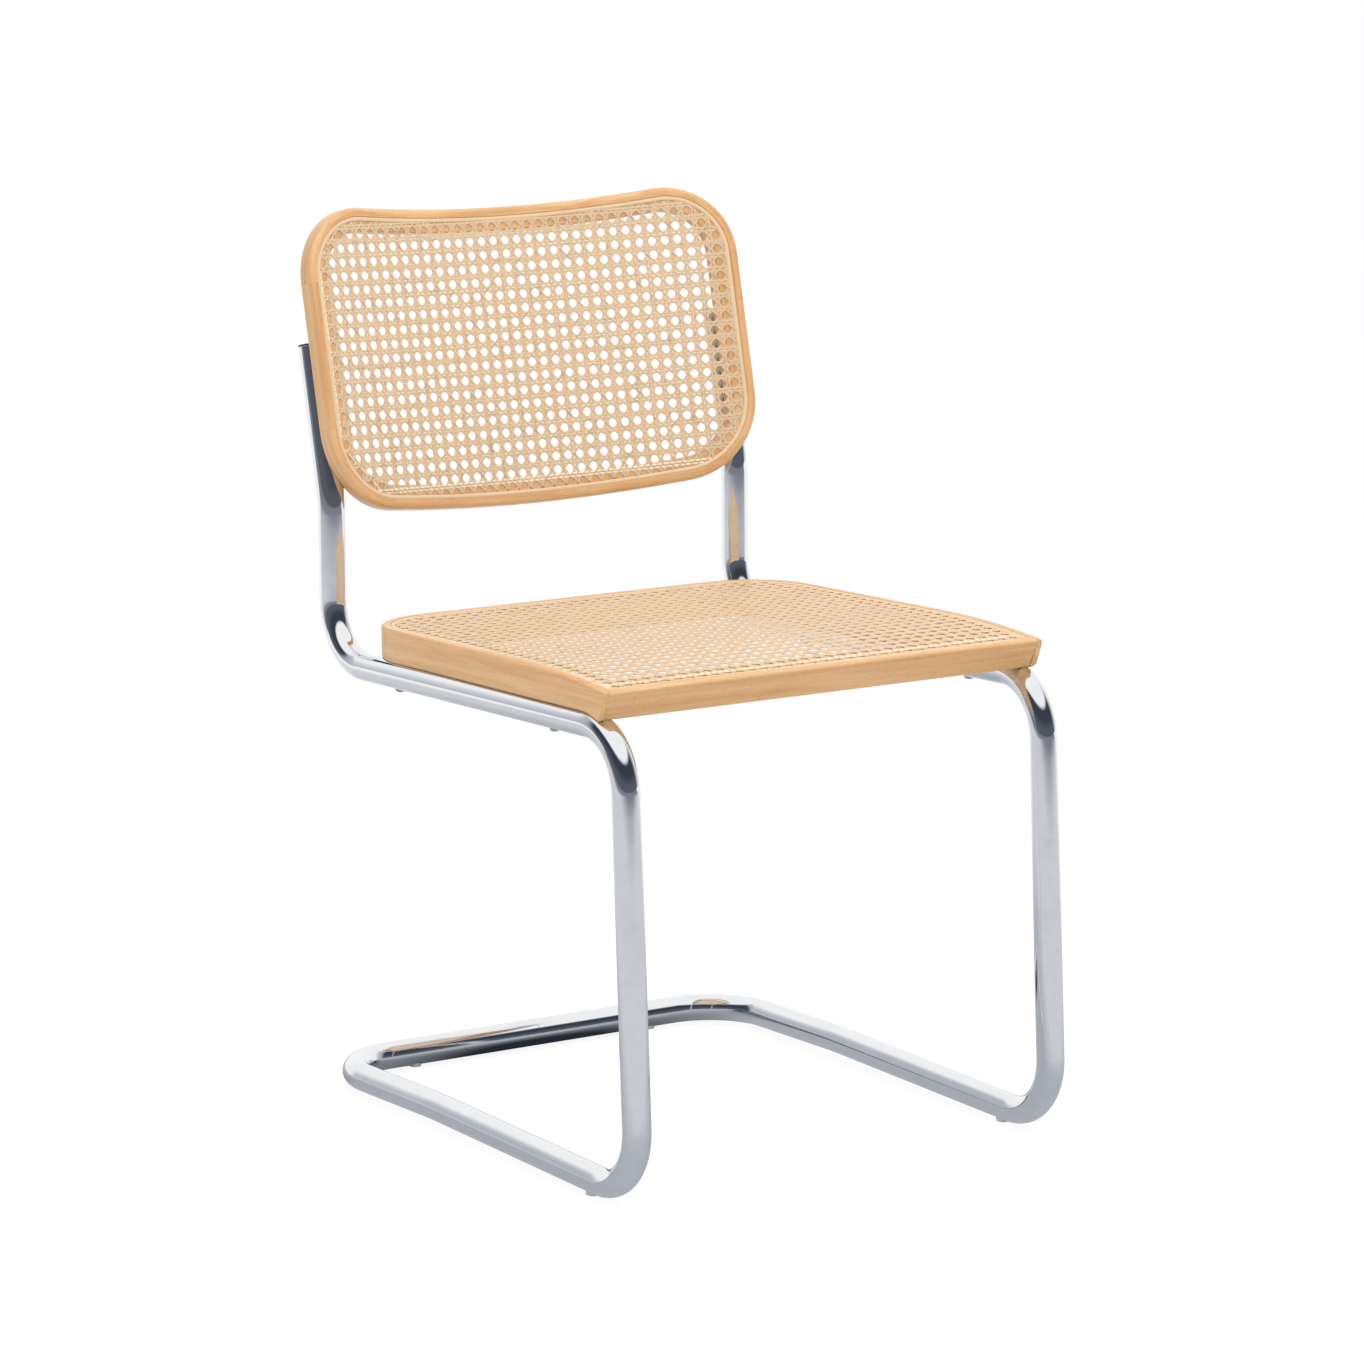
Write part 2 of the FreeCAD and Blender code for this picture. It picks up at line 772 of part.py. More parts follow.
def screw_set(name, place, axis, points, length):
    """Screws through the tube into the wood, and the saddle washers under their heads."""
    screws = []
    washers = []
    drive = place.Rotation.multVec(axis)
    for i, (word, point) in enumerate(points):
        tail = "%s_%d" % (name, i)
        under_head = place.multVec(point) - drive * (tube_radius + size("washer_under_tube"))
        shank = cylinder("shank_" + tail, "Sizes.screw_dia / 2", length, under_head, drive)
        head = cylinder(
            "head_" + tail, "Sizes.screw_head_dia / 2", "Sizes.screw_head", under_head, drive * -1
        )
        screws.append(boolean("Fuse", "screw_" + tail, shank, head))
        disc = cylinder(
            "disc_" + tail, "Sizes.washer_dia / 2", "Sizes.washer_height", under_head, drive
        )
        bore = cylinder(
            "disc_bore_" + tail,
            "Sizes.screw_dia / 2 + Sizes.fit_gap",
            "Sizes.tube_od",
            under_head,
            drive,
        )
        tools = fused("disc_tools_" + tail, [bars[word], bore])
        washers.append(boolean("Cut", "washer_" + tail, disc, tools))
    grouped(name + "_screw_group", name + "_screws", screws)
    grouped(name + "_washer_group", name + "_saddle_washers", washers)


sleeve()
splice_screws()
for side, word in ((-1, "left"), (1, "right")):
    plug(side, word)
    for place_word, point in glide_points(side).items():
        glide(word, place_word, point)
seat_wood()
dowels("seat_dowels", seat_dowel_points(), FORWARD, seat_place)
seat_cane()
back_wood()
dowels("back_dowels", back_dowel_points(), UP, back_place)
back_cane()
screw_set(
    "seat",
    seat_place,
    UP,
    [(word, point) for side, word in ((-1, "left"), (1, "right")) for point in seat_screw_points(side)],
    "Sizes.washer_under_tube + Sizes.tube_od - Sizes.seat_bed + Sizes.seat_screw_in_wood",
)
screw_set(
    "back",
    back_place,
    FORWARD,
    [(word, point) for side, word in ((-1, "left"), (1, "right")) for point in back_screw_points(side)],
    "Sizes.washer_under_tube + Sizes.tube_od + Sizes.back_screw_in_wood",
)

doc.recompute()
for item in doc.Objects:
    if "Invalid" in item.State or "Error" in item.State:
        raise RuntimeError("%s did not recompute: %s" % (item.Name, item.State))
for item in nodes:
    if item.Shape.isNull() or not item.Shape.isValid():
        raise RuntimeError("%s has no valid shape" % item.Label)
for item in nodes:
    item.Shape.exportStep("parts/%s.step" % item.Label)
    print("%-24s %2d solids, %.0f mm3" % (item.Label, len(item.Shape.Solids), item.Shape.Volume))
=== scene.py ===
import math

import bpy
import numpy as np
from bpy.props import FloatProperty, FloatVectorProperty, PointerProperty
from mathutils import Matrix, Vector


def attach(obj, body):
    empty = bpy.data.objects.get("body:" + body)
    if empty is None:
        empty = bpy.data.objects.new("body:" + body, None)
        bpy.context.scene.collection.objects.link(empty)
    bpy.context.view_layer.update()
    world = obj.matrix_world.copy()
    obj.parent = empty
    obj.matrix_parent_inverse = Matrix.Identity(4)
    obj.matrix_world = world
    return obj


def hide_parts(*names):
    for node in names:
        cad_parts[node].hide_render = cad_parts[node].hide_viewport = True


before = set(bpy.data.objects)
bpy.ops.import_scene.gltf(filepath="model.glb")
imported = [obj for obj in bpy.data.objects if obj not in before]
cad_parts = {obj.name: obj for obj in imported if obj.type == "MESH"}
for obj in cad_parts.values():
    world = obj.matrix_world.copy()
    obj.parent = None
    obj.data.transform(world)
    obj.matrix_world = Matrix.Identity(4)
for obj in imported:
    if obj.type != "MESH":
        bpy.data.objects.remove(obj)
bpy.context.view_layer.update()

bl_info = {
    "name": "Cantilever Chair",
    "version": (1, 0, 0),
    "blender": (4, 5, 0),
    "location": "View3D > Sidebar > Chair",
    "description": "Dresses a packed cantilever chair with chrome tube, wooden rails and woven cane",
    "category": "Add Mesh",
}

MM = 0.001
# A length that counts as none
TINY = 1e-6
SIDES = (("left", -1), ("right", 1))
WHITE = (1.0, 1.0, 1.0)
# The way the camera looks over the floor, from the chair's front left to its rear right
LOOK = (0.559, 0.829)
# Radius of the tiny flat that closes a turned form on its axis
PINHOLE = 0.05 * MM
# Between a surface that is hollowed to the tube and the tube itself
CLEAR = 0.02 * MM
# Height of the weave's middle over the land round the opening
WEAVE_LIFT = 0.65 * MM
# How far the backrest's channel for an upright goes past the tube's end, for the plug
PLUG_ROOM = 2.8 * MM
# Bevel of the wood where it meets the groove's outer wall
RIM_ARRIS = 0.4 * MM


def length(millimetres, name, description):
    """A length property, kept in metres."""
    return FloatProperty(
        name=name, description=description, default=millimetres * MM, precision=4,
        subtype="DISTANCE", unit="LENGTH",
    )


def colour(rgb, name, description):
    """A colour property, as scene-linear red, green and blue."""
    return FloatVectorProperty(
        name=name, description=description, default=rgb, subtype="COLOR", size=3, min=0.0, max=1.0
    )


class TubeSizes(bpy.types.PropertyGroup):
    """Bent steel frame."""

    diameter: length(25.0, "Diameter", "Outside diameter of the tube")
    wall: length(2.0, "Wall", "Wall of the tube")
    spacing: length(440.0, "Spacing", "Between the two sides' centre lines")
    bend: length(55.0, "Bend", "Centre line radius of the three side bends")
    corner: length(62.0, "Corner", "Centre line radius of the rear corners")
    kink: length(120.0, "Kink", "Radius where the upright leans back")
    runner_kink: length(300.0, "Runner kink", "Radius of the runner's slight kink")
    front_reach: length(292.2, "Front reach", "From the middle to the foot's corner")
    foot_ahead: length(28.0, "Foot ahead", "How far the foot is ahead of the rail's corner")
    rail_height: length(412.0, "Rail height", "Seat rail's front corner over the runner's underside")
    rail_length: length(478.0, "Rail length", "Seat rail from corner to corner")
    rail_drop: length(18.0, "Rail drop", "How far the seat rail falls to the rear")
    upright_height: length(146.0, "Upright height", "From the seat rail to the kink")
    upright_setback: length(4.0, "Upright setback", "How far the kink is behind the rail's corner")
    above_kink: length(140.0, "Above kink", "Upright's length over the kink")
    runner_length: length(514.0, "Runner length", "From the foot to the rear bar")
    runner_to_kink: length(329.0, "Runner to kink", "From the foot to the runner's kink")
    runner_lift: length(4.2, "Runner lift", "How far the runner rises to its kink")
    floor_gap: length(1.5, "Floor gap", "Under the tube, left by the glides")
    recline: FloatProperty(
        name="Recline", description="Lean of the backrest", default=math.radians(14.1), subtype="ANGLE"
    )


class SeatSizes(bpy.types.PropertyGroup):
    """Wooden seat frame, in axes that run along the seat rails."""

    side_front: length(11.0, "Side, front", "Past the tube's centre line at the front")
    side_rear: length(6.0, "Side, rear", "Past the tube's centre line at the rear")
    rear_inset: length(45.1, "Rear inset", "From the rail's rear corner to the seat")
    overhang: length(40.6, "Overhang", "Ahead of where the rail starts to bend down")
    front_setback: length(11.5, "Front setback", "How far the front face leans back to its foot")
    thickness: length(30.0, "Thickness", "Height of the seat frame")
    bed: length(1.0, "Bed", "How far the tube sinks into the wood")
    corner: length(70.0, "Corner", "Radius of the rear corners")
    rail: length(34.0, "Rail", "Width of the wood round the opening")
    fall: length(9.0, "Fall", "How far the top curves down at the front")
    fall_run: length(140.0, "Fall run", "Length over which the top curves down")
    edge: length(3.0, "Edge", "Round of the outer edges")
    lip: length(5.5, "Lip", "Bent rail's wood that hides the front joint")
    screw_front: length(94.5, "Front screw", "From the front edge to the front screws")
    screw_rear: length(71.0, "Rear screw", "From the rear edge to the rear screws")


class BackSizes(bpy.types.PropertyGroup):
    """Wooden backrest frame, in axes that lean with the uprights."""

    side: length(12.0, "Side", "Past the tube's centre line")
    bottom: length(-15.2, "Bottom", "Lower edge at the corners, from the kink")
    top: length(260.5, "Top", "Upper edge at the corners, from the kink")
    bottom_dip: length(5.4, "Bottom dip", "How far the lower edge sags in the middle")
    top_dip: length(6.0, "Top dip", "How far the upper edge sags in the middle")
    curve: length(780.0, "Curve", "Radius of the hollow backrest")
    thickness: length(22.0, "Thickness", "From the front face to the rear face")
    forward: length(20.0, "Forward", "From the tube to the middle of the wood")
    top_corner: length(66.5, "Top corner", "Radius of the upper corners")
    bottom_corner: length(76.0, "Bottom corner", "Radius of the lower corners")
    rail: length(22.0, "Rail", "Width of the wood round the opening")
    edge: length(5.0, "Edge", "Round of the outer edges")
    inner_round: length(8.0, "Inner round", "Round of the opening's rear edge")
    screw_low: length(42.0, "Low screw", "From the kink to the lower screws")
    screw_high: length(118.0, "High screw", "From the kink to the upper screws")


class CaneSizes(bpy.types.PropertyGroup):
    """Woven panels and what holds them."""

    rim: length(8.5, "Rim", "Wood outside the groove")
    groove: length(4.0, "Groove", "Width of the groove for the spline")
    groove_depth: length(6.0, "Groove depth", "Depth of the groove")
    land: length(1.6, "Land", "How far the cane lies under the rim")
    across: length(12.7, "Cell width", "Repeat of the weave from side to side")
    along: length(12.7, "Cell length", "Repeat of the weave the other way")
    pair: length(1.3, "Pair", "Half of the distance between the two strands of a pair")
    strand: length(2.1, "Strand", "Width of a strand in a pair")
    slanting: length(1.6, "Slanting strand", "Width of a strand of the diagonals")
    strand_thickness: length(0.75, "Strand thickness", "Thickness of a strand")


class ChairColours(bpy.types.PropertyGroup):
    """Colours of the finishes."""

    wood: colour((0.81, 0.51, 0.255), "Wood", "Lacquered bentwood")
    wood_dark: colour((0.62, 0.325, 0.12), "Wood grain", "Darker grain of the bentwood")
    dowel: colour((0.60, 0.42, 0.24), "Dowel", "Raw beech of the dowels")
    cane: colour((0.965, 0.88, 0.69), "Cane", "Pale side of the cane")
    cane_dark: colour((0.71, 0.52, 0.33), "Cane, dark", "Darker strands and nodes of the cane")
    reed: colour((0.82, 0.60, 0.37), "Reed", "Spline round the panels")
    chrome: colour((0.86, 0.87, 0.89), "Chrome", "Plated tube")
    steel: colour((0.60, 0.60, 0.61), "Steel", "Zinc plated fixings")
    plug: colour((0.018, 0.018, 0.020), "Plug", "Plastic plugs in the uprights")
    glide: colour((0.62, 0.62, 0.63), "Glide", "Plastic floor glides")


def unit(vector):
    """A vector over its own length."""
    return vector / np.linalg.norm(vector, axis=-1, keepdims=True)


def grid(*parts):
    """Arrays spread over one grid, as the coordinates of its points."""
    return np.stack(np.broadcast_arrays(*parts), -1)


def spun(vector, axis, angles):
    """A vector turned about a unit axis: v cos a + (k x v) sin a + k (k . v)(1 - cos a)."""
    cosine = np.cos(angles)[:, None]
    sine = np.sin(angles)[:, None]
    return vector * cosine + np.cross(axis, vector) * sine + axis * (axis @ vector) * (1 - cosine)


def bent_route(corners, radii, side, arc_step=math.radians(3.0), run_step=20.0 * MM, long_step=1.0):
    """Centres and side vectors of rings along straight runs joined by tangent arcs.

    Rings on an arc are no further apart than an angle, nor than a length.

    An arc starts radius * tan(turn / 2) ahead of its corner. Its centre is one radius to the inner
    side, and its rings are the first one turned about the arc's axis. A corner with no radius gets
    one ring, whose side vector is the mitre (a + b) / (1 + a . b) of the sides before and after it.
    """
    corners = np.asarray(corners, float)
    side = np.asarray(side, float)
    ahead = unit(corners[1] - corners[0])
    centres, sides = [corners[:1]], [side[None]]

    def run_to(end):
        """Rings along a straight run, without its start."""
        here = centres[-1][-1]
        run = np.linalg.norm(end - here)
        if run > TINY:
            shares = np.linspace(0.0, 1.0, math.ceil(run / run_step) + 1)[1:, None]
            centres.append(here + (end - here) * shares)
            sides.append(np.repeat(side[None], len(shares), 0))

    for corner, after, radius in zip(corners[1:-1], corners[2:], radii):
        out = unit(after - corner)
        turn = math.acos(np.clip(ahead @ out, -1.0, 1.0))
        axis = unit(np.cross(ahead, out))
        start = corner - ahead * radius * math.tan(turn / 2)
        new_side = spun(side, axis, np.array([turn]))[0]
        run_to(start)
        if radius == 0:
            sides[-1][-1] = (side + new_side) / (1 + side @ new_side)
        else:
            centre = start + np.cross(axis, ahead) * radius
            count = math.ceil(max(turn / arc_step, turn * radius / long_step))
            angles = np.linspace(0.0, turn, count + 1)[1:]
            centres.append(centre + spun(start - centre, axis, angles))
            sides.append(spun(side, axis, angles))
        ahead, side = out, new_side
    run_to(corners[-1])
    return np.concatenate(centres), np.concatenate(sides)


def carried(route, inward, inset):
    """A section's insets carried along a flat route: both coordinates of its points, ring by ring."""
    plan = route[:, None] + inward[:, None] * inset[:, None]
    return plan[..., 0], plan[..., 1]


def travelled(centres):
    """Length along a line of points, as a column: the running sum of the steps between them."""
    steps = np.linalg.norm(np.diff(centres, axis=0), axis=1)
    return np.r_[0.0, np.cumsum(steps)][:, None]


def tilted(points, origin, tilt):
    """Points of a tilted frame in the chair's own: y cos t - z sin t and y sin t + z cos t, then moved."""
    x, y, z = np.moveaxis(np.asarray(points, float), -1, 0)
    c, s = math.cos(tilt), math.sin(tilt)
    return grid(x, y * c - z * s, y * s + z * c) + origin


def rounding(radius, steps=6):
    """A quarter round from a side face to a flat one, as insets r(1 - cos a) and depths r(1 - sin a)."""
    angle = np.linspace(0.0, math.pi / 2, steps)
    return radius * (1 - np.cos(angle)), radius * (1 - np.sin(angle))


def tube_height(radius, off):
    """Height of a tube's skin over its axis, h = sqrt(r^2 - d^2), and 0 beside it."""
    return np.sqrt(np.maximum(radius ** 2 - off ** 2, 0.0))


class Layout:
    """Places that follow from the chair's sizes, in metres."""

    def __init__(self, scene):
        tube, seat, back, cane = scene.chair_tube, scene.chair_seat, scene.chair_back, scene.chair_cane
        self.tube, self.seat, self.back, self.cane = tube, seat, back, cane
        self.radius = tube.diameter / 2
        self.half = tube.spacing / 2
        self.bar_z = self.radius + tube.floor_gap
        self.foot_y = -tube.front_reach
        self.bar_y = self.foot_y + tube.runner_length
        self.rail_front = np.array((0, self.foot_y + tube.foot_ahead, tube.rail_height + tube.floor_gap))
        self.rail_rear = self.rail_front + (0, tube.rail_length, -tube.rail_drop)
        self.kink = self.rail_rear + (0, tube.upright_setback, tube.upright_height)
        self.upright = np.array((0, math.sin(tube.recline), math.cos(tube.recline)))
        self.seat_tilt = -math.atan2(tube.rail_drop, tube.rail_length)
        foot = np.array((0, self.foot_y, self.bar_z))
        rail = self.rail_rear - self.rail_front
        half_turn = math.acos(unit(rail) @ unit(foot - self.rail_front)) / 2
        self.bend_start = tube.bend / math.tan(half_turn) - np.linalg.norm(rail)
        self.seat_front = self.bend_start - seat.overhang
        self.seat_back = -seat.rear_inset
        self.seat_joint = self.seat_front + seat.rail
        self.front_foot = self.seat_front + seat.front_setback
        self.seat_bottom = self.radius - seat.bed
        self.seat_top = self.seat_bottom + seat.thickness
        self.fall_radius = (seat.fall_run ** 2 + seat.fall ** 2) / (2 * seat.fall)
        self.back_half = self.half + back.side
        self.back_centre = -back.forward - math.sqrt(back.curve ** 2 - self.half ** 2)
        self.back_face = back.curve - back.thickness / 2
        self.back_rear = back.curve + back.thickness / 2
        self.back_low_joint = back.bottom + back.bottom_corner
        self.back_high_joint = back.top - back.top_corner

    def tube_corners(self, side):
        """Corner points of one half's centre line, from the upright's top to the splice."""
        aside = np.array((side * self.half, 0, 0))
        runner_kink = self.foot_y + self.tube.runner_to_kink
        return [
            aside + self.kink + self.upright * self.tube.above_kink,
            aside + self.kink,
            aside + self.rail_rear,
            aside + self.rail_front,
            aside + (0, self.foot_y, self.bar_z),
            aside + (0, runner_kink, self.bar_z + self.tube.runner_lift),
            aside + (0, self.bar_y, self.bar_z),
            np.array((0, self.bar_y, self.bar_z)),
        ]

    def in_seat(self, points):
        """Seat axes to the chair's own."""
        return tilted(points, self.rail_rear, self.seat_tilt)

    def in_back(self, points):
        """Backrest axes to the chair's own."""
        return tilted(points, self.kink, -self.tube.recline)

    def on_seat(self, x, y, depth):
        """A point at a depth under the seat's top."""
        return self.in_seat(grid(x, y, self.seat_over(y) - depth))

    def on_back(self, x, z, depth):
        """A point at a depth behind the backrest's hollow face."""
        return self.in_back(grid(x, self.back_y(self.back_face + depth, x), z))

    def seat_half(self, y):
        """Half width of the seat, a straight taper from front to rear."""
        share = (y - self.seat_front) / (self.seat_back - self.seat_front)
        return self.half + self.seat.side_front + share * (self.seat.side_rear - self.seat.side_front)

    def seat_over(self, y):
        """Top of the seat: flat, then an arc that falls R - sqrt(R^2 - run^2) to the front."""
        run = np.maximum(self.seat_front + self.seat.fall_run - y, 0.0)
        return self.seat_top - (self.fall_radius - np.sqrt(self.fall_radius ** 2 - run ** 2))

    def seat_under(self, y):
        """Underside of the seat: flat, then round with the tube's bend, sqrt(R^2 - run^2) - bend."""
        run = np.maximum(self.bend_start - y, 0.0)
        rise = tube_height(self.tube.bend + self.radius, run) - self.tube.bend
        return np.minimum(rise - self.seat.bed, self.seat_bottom)

    def tube_over(self, x, y):
        """Top of the seat rails' tube: its skin's height h, bent down as sqrt((b + h)^2 - run^2) - b.

        Beside the tube it is a height that is under everything.
        """
        off = np.abs(np.abs(x) - self.half)
        run = np.maximum(self.bend_start - y, 0.0)
        bent = tube_height(self.tube.bend + tube_height(self.radius, off), run) - self.tube.bend
        return np.where(off < self.radius, bent, -1.0)

    def seat_inset(self, x, y):
        """How far a point is inside the seat's outline.

        It is the least of its distances to the four edges, or R - hypot(R - side, R - rear) near a
        rear corner of radius R.
        """
        side, rear, radius = self.seat_half(y) - np.abs(x), self.seat_back - y, self.seat.corner
        near = (side < radius) & (rear < radius)
        rounded = np.where(near, radius - np.hypot(radius - side, radius - rear), np.minimum(side, rear))
        return np.minimum(rounded, y - self.seat_front)

    def sag(self, upper):
        """One end of the backrest's outline: joint, corner radius, and the sagging arc that touches
        both corner arcs, by its slope there, its centre's height and its radius.

        With c the distance between the centres, c = (aside^2 + dip^2) / (2 dip).
        """
        back = self.back
        if upper:
            joint, corner, dip = self.back_high_joint, back.top_corner, back.top_dip
        else:
            joint, corner, dip = self.back_low_joint, back.bottom_corner, back.bottom_dip
        aside = self.back_half - corner
        between = (aside ** 2 + dip ** 2) / (2 * dip)
        slope = math.asin(aside / between)
        radius = between - corner if upper else between + corner
        return joint, corner, slope, joint + between * math.cos(slope), radius

    def back_end(self, upper):
        """Corner points, from left to right, and radii of one end of the outline: two round corners
        and, between them, the meeting point of the sagging arc's end tangents."""
        joint, corner, slope, _, radius = self.sag(upper)
        sign = 1 if upper else -1
        touch_x = self.back_half - corner - sign * corner * math.sin(slope)
        touch_z = joint + sign * corner * math.cos(slope)
        side_z = touch_z + (self.back_half - touch_x) * math.tan(slope)
        middle_z = touch_z - touch_x * math.tan(slope)
        points = [(-self.back_half, side_z, 0), (0, middle_z, 0), (self.back_half, side_z, 0)]
        return points, [corner, radius, corner]

    def back_inset(self, x, z):
        """How far a point is inside the backrest's outline, seen from the front.

        It is the least of the distances to the sides and the two sagging arcs, or in a corner's
        sector the corner's radius less the distance to its centre.
        """
        x = np.abs(x)
        inset = self.back_half - x
        for upper, sign in ((True, 1), (False, -1)):
            joint, corner, slope, centre, radius = self.sag(upper)
            inset = np.minimum(inset, sign * (np.hypot(x, centre - z) - radius))
            aside = x - (self.back_half - corner)
            past = sign * (z - joint)
            sector = (past > 0) & (aside * math.cos(slope) + sign * past * math.sin(slope) > 0)
            inset = np.where(sector, corner - np.hypot(aside, past), inset)
        return inset

    def back_y(self, radius, x):
        """Depth of one of the backrest's curves: centre + sqrt(R^2 - x^2)."""
        return self.back_centre + np.sqrt(radius ** 2 - x ** 2)

    def rebate_places(self):
        """Insets at which the depth under the wood's face changes: rim, groove, then land."""
        rim, groove, slope = self.cane.rim, self.cane.groove, 0.05 * MM
        return [rim - RIM_ARRIS, rim, rim + slope, rim + groove - slope, rim + groove]

    def rebate(self, inset):
        """Depth of the wood under its face: none on the rim, then the groove's, then the land's."""
        deep = self.cane.groove_depth
        return np.interp(inset, self.rebate_places(), (0, RIM_ARRIS, deep, deep, self.cane.land))


class Shell:
    """Closed surfaces gathered into one mesh, each point with a place in its material's own grain."""

    def __init__(self):
        self.points = []
        self.grain = []
        self.faces = []
        self.count = 0

    def add(self, points, faces, grain=None):
        """Add one closed surface. Its faces are turned outward if the volume they enclose is negative."""
        points = points.reshape(-1, 3)
        volume = 0.0
        for block in faces:
            for corner in range(1, block.shape[1] - 1):
                a, b, c = points[block[:, 0]], points[block[:, corner]], points[block[:, corner + 1]]
                volume += np.einsum("ij,ij->", a, np.cross(b, c))
        if volume < 0:
            faces = [block[:, ::-1] for block in faces]
        self.points.append(points)
        self.grain.append(points if grain is None else grain.reshape(-1, 3))
        self.faces += [block + self.count for block in faces]
        self.count += len(points)
        return self

    def loft(self, rings, grain=None, closed=False):
        """Rings of points joined by quads: each ring is closed, and the ends are joined or capped."""
        count, around = rings.shape[:2]
        index = np.arange(count * around).reshape(count, around)
        lower = index if closed else index[:-1]
        upper = np.roll(index, -1, 0) if closed else index[1:]
        faces = [quads_between(lower, upper)]
        if not closed:
            faces += [index[:1, ::-1], index[-1:]]
        return self.add(rings, faces, grain)

    def piece(self, name, slot, *nodes):
        """Make the gathered surfaces one object that stands for the named nodes."""
        mesh = bpy.data.meshes.new(name)
        points = np.concatenate(self.points).astype(np.float32)
        sizes = np.concatenate([np.full(len(block), block.shape[1]) for block in self.faces])
        corners = np.concatenate([block.ravel() for block in self.faces]).astype(np.int32)
        mesh.vertices.add(len(points))
        mesh.vertices.foreach_set("co", points.ravel())
        mesh.loops.add(len(corners))
        mesh.loops.foreach_set("vertex_index", corners)
        mesh.polygons.add(len(sizes))
        mesh.polygons.foreach_set("loop_start", np.r_[0, np.cumsum(sizes)[:-1]].astype(np.int32))
        mesh.update(calc_edges=True)
        mesh.polygons.foreach_set("use_smooth", np.ones(len(sizes), bool))
        mesh.set_sharp_from_angle(angle=math.radians(32.0))
        grain = mesh.attributes.new("grain", "FLOAT_VECTOR", "POINT")
        grain.data.foreach_set("vector", np.concatenate(self.grain).astype(np.float32).ravel())
        if mesh.validate():
            raise RuntimeError(name + " had faulty faces")
        mesh.materials.append(finish_for(slot))
        made = placed(name, mesh)
        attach(made, "root")
        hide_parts(*nodes)


def quads_between(lower, upper):
    """Quads that join rows of point numbers, each row closed on itself."""
    return grid(lower, np.roll(lower, -1, 1), np.roll(upper, -1, 1), upper).reshape(-1, 4)


def placed(name, data):
    """A new object in the scene."""
    made = bpy.data.objects.new(name, data)
    bpy.context.scene.collection.objects.link(made)
    return made


def bevelled(rings, bevel):
    """Rings with a small bevel at both ends: the end ring is drawn in, and a full one stands behind it.

    A point is drawn in along the mean of its two edges' inward normals in the ring's own plane.
    """
    nudge = 1e-9

    def drawn_in(ring, along):
        after = np.roll(ring, -1, 0)
        normal = np.cross(along, unit(after - ring + nudge))
        mean = unit(normal + np.roll(normal, 1, 0))
        area = np.cross(ring, after).sum(0) @ along
        return ring + mean * (bevel if area > 0 else -bevel)

    first = unit((rings[1] - rings[0]).mean(0))
    last = unit((rings[-1] - rings[-2]).mean(0))
    start = [drawn_in(rings[0], first), rings[0] + first * bevel]
    end = [rings[-1] - last * bevel, drawn_in(rings[-1], last)]
    return np.concatenate((start, rings[1:-1], end))


class Value:
    """A shader socket that can stand in a sum: an expression on values adds its Math nodes."""

    def __init__(self, finish, socket):
        self.finish = finish
        self.socket = socket

    def maths(self, operation, first, second=0.0):
        """Add a Math node that works on one or two values."""
        return self.finish.node("ShaderNodeMath", {"operation": operation}, {0: first, 1: second})

    def __add__(self, other):
        return self.maths("ADD", self, other)

    def __sub__(self, other):
        return self.maths("SUBTRACT", self, other)

    def __rsub__(self, other):
        return self.maths("SUBTRACT", other, self)

    def __mul__(self, other):
        return self.maths("MULTIPLY", self, other)

    def __abs__(self):
        return self.maths("ABSOLUTE", self)

    __radd__ = __add__
    __rmul__ = __mul__

    def root(self):
        """Square root, as the power of a half."""
        return self.maths("POWER", self, 0.5)

    def spread(self, low, high, to_low=0.0, to_high=1.0, way="LINEAR"):
        """A range of this value carried over to another one, and held there."""
        return self.finish.node(
            "ShaderNodeMapRange",
            {"interpolation_type": way},
            {"Value": self, "From Min": low, "From Max": high, "To Min": to_low, "To Max": to_high},
        )

    def above(self, limit, soft):
        """0 under a limit, 1 past it, and a smooth change of that softness between."""
        return self.spread(limit - soft, limit + soft, way="SMOOTHSTEP")


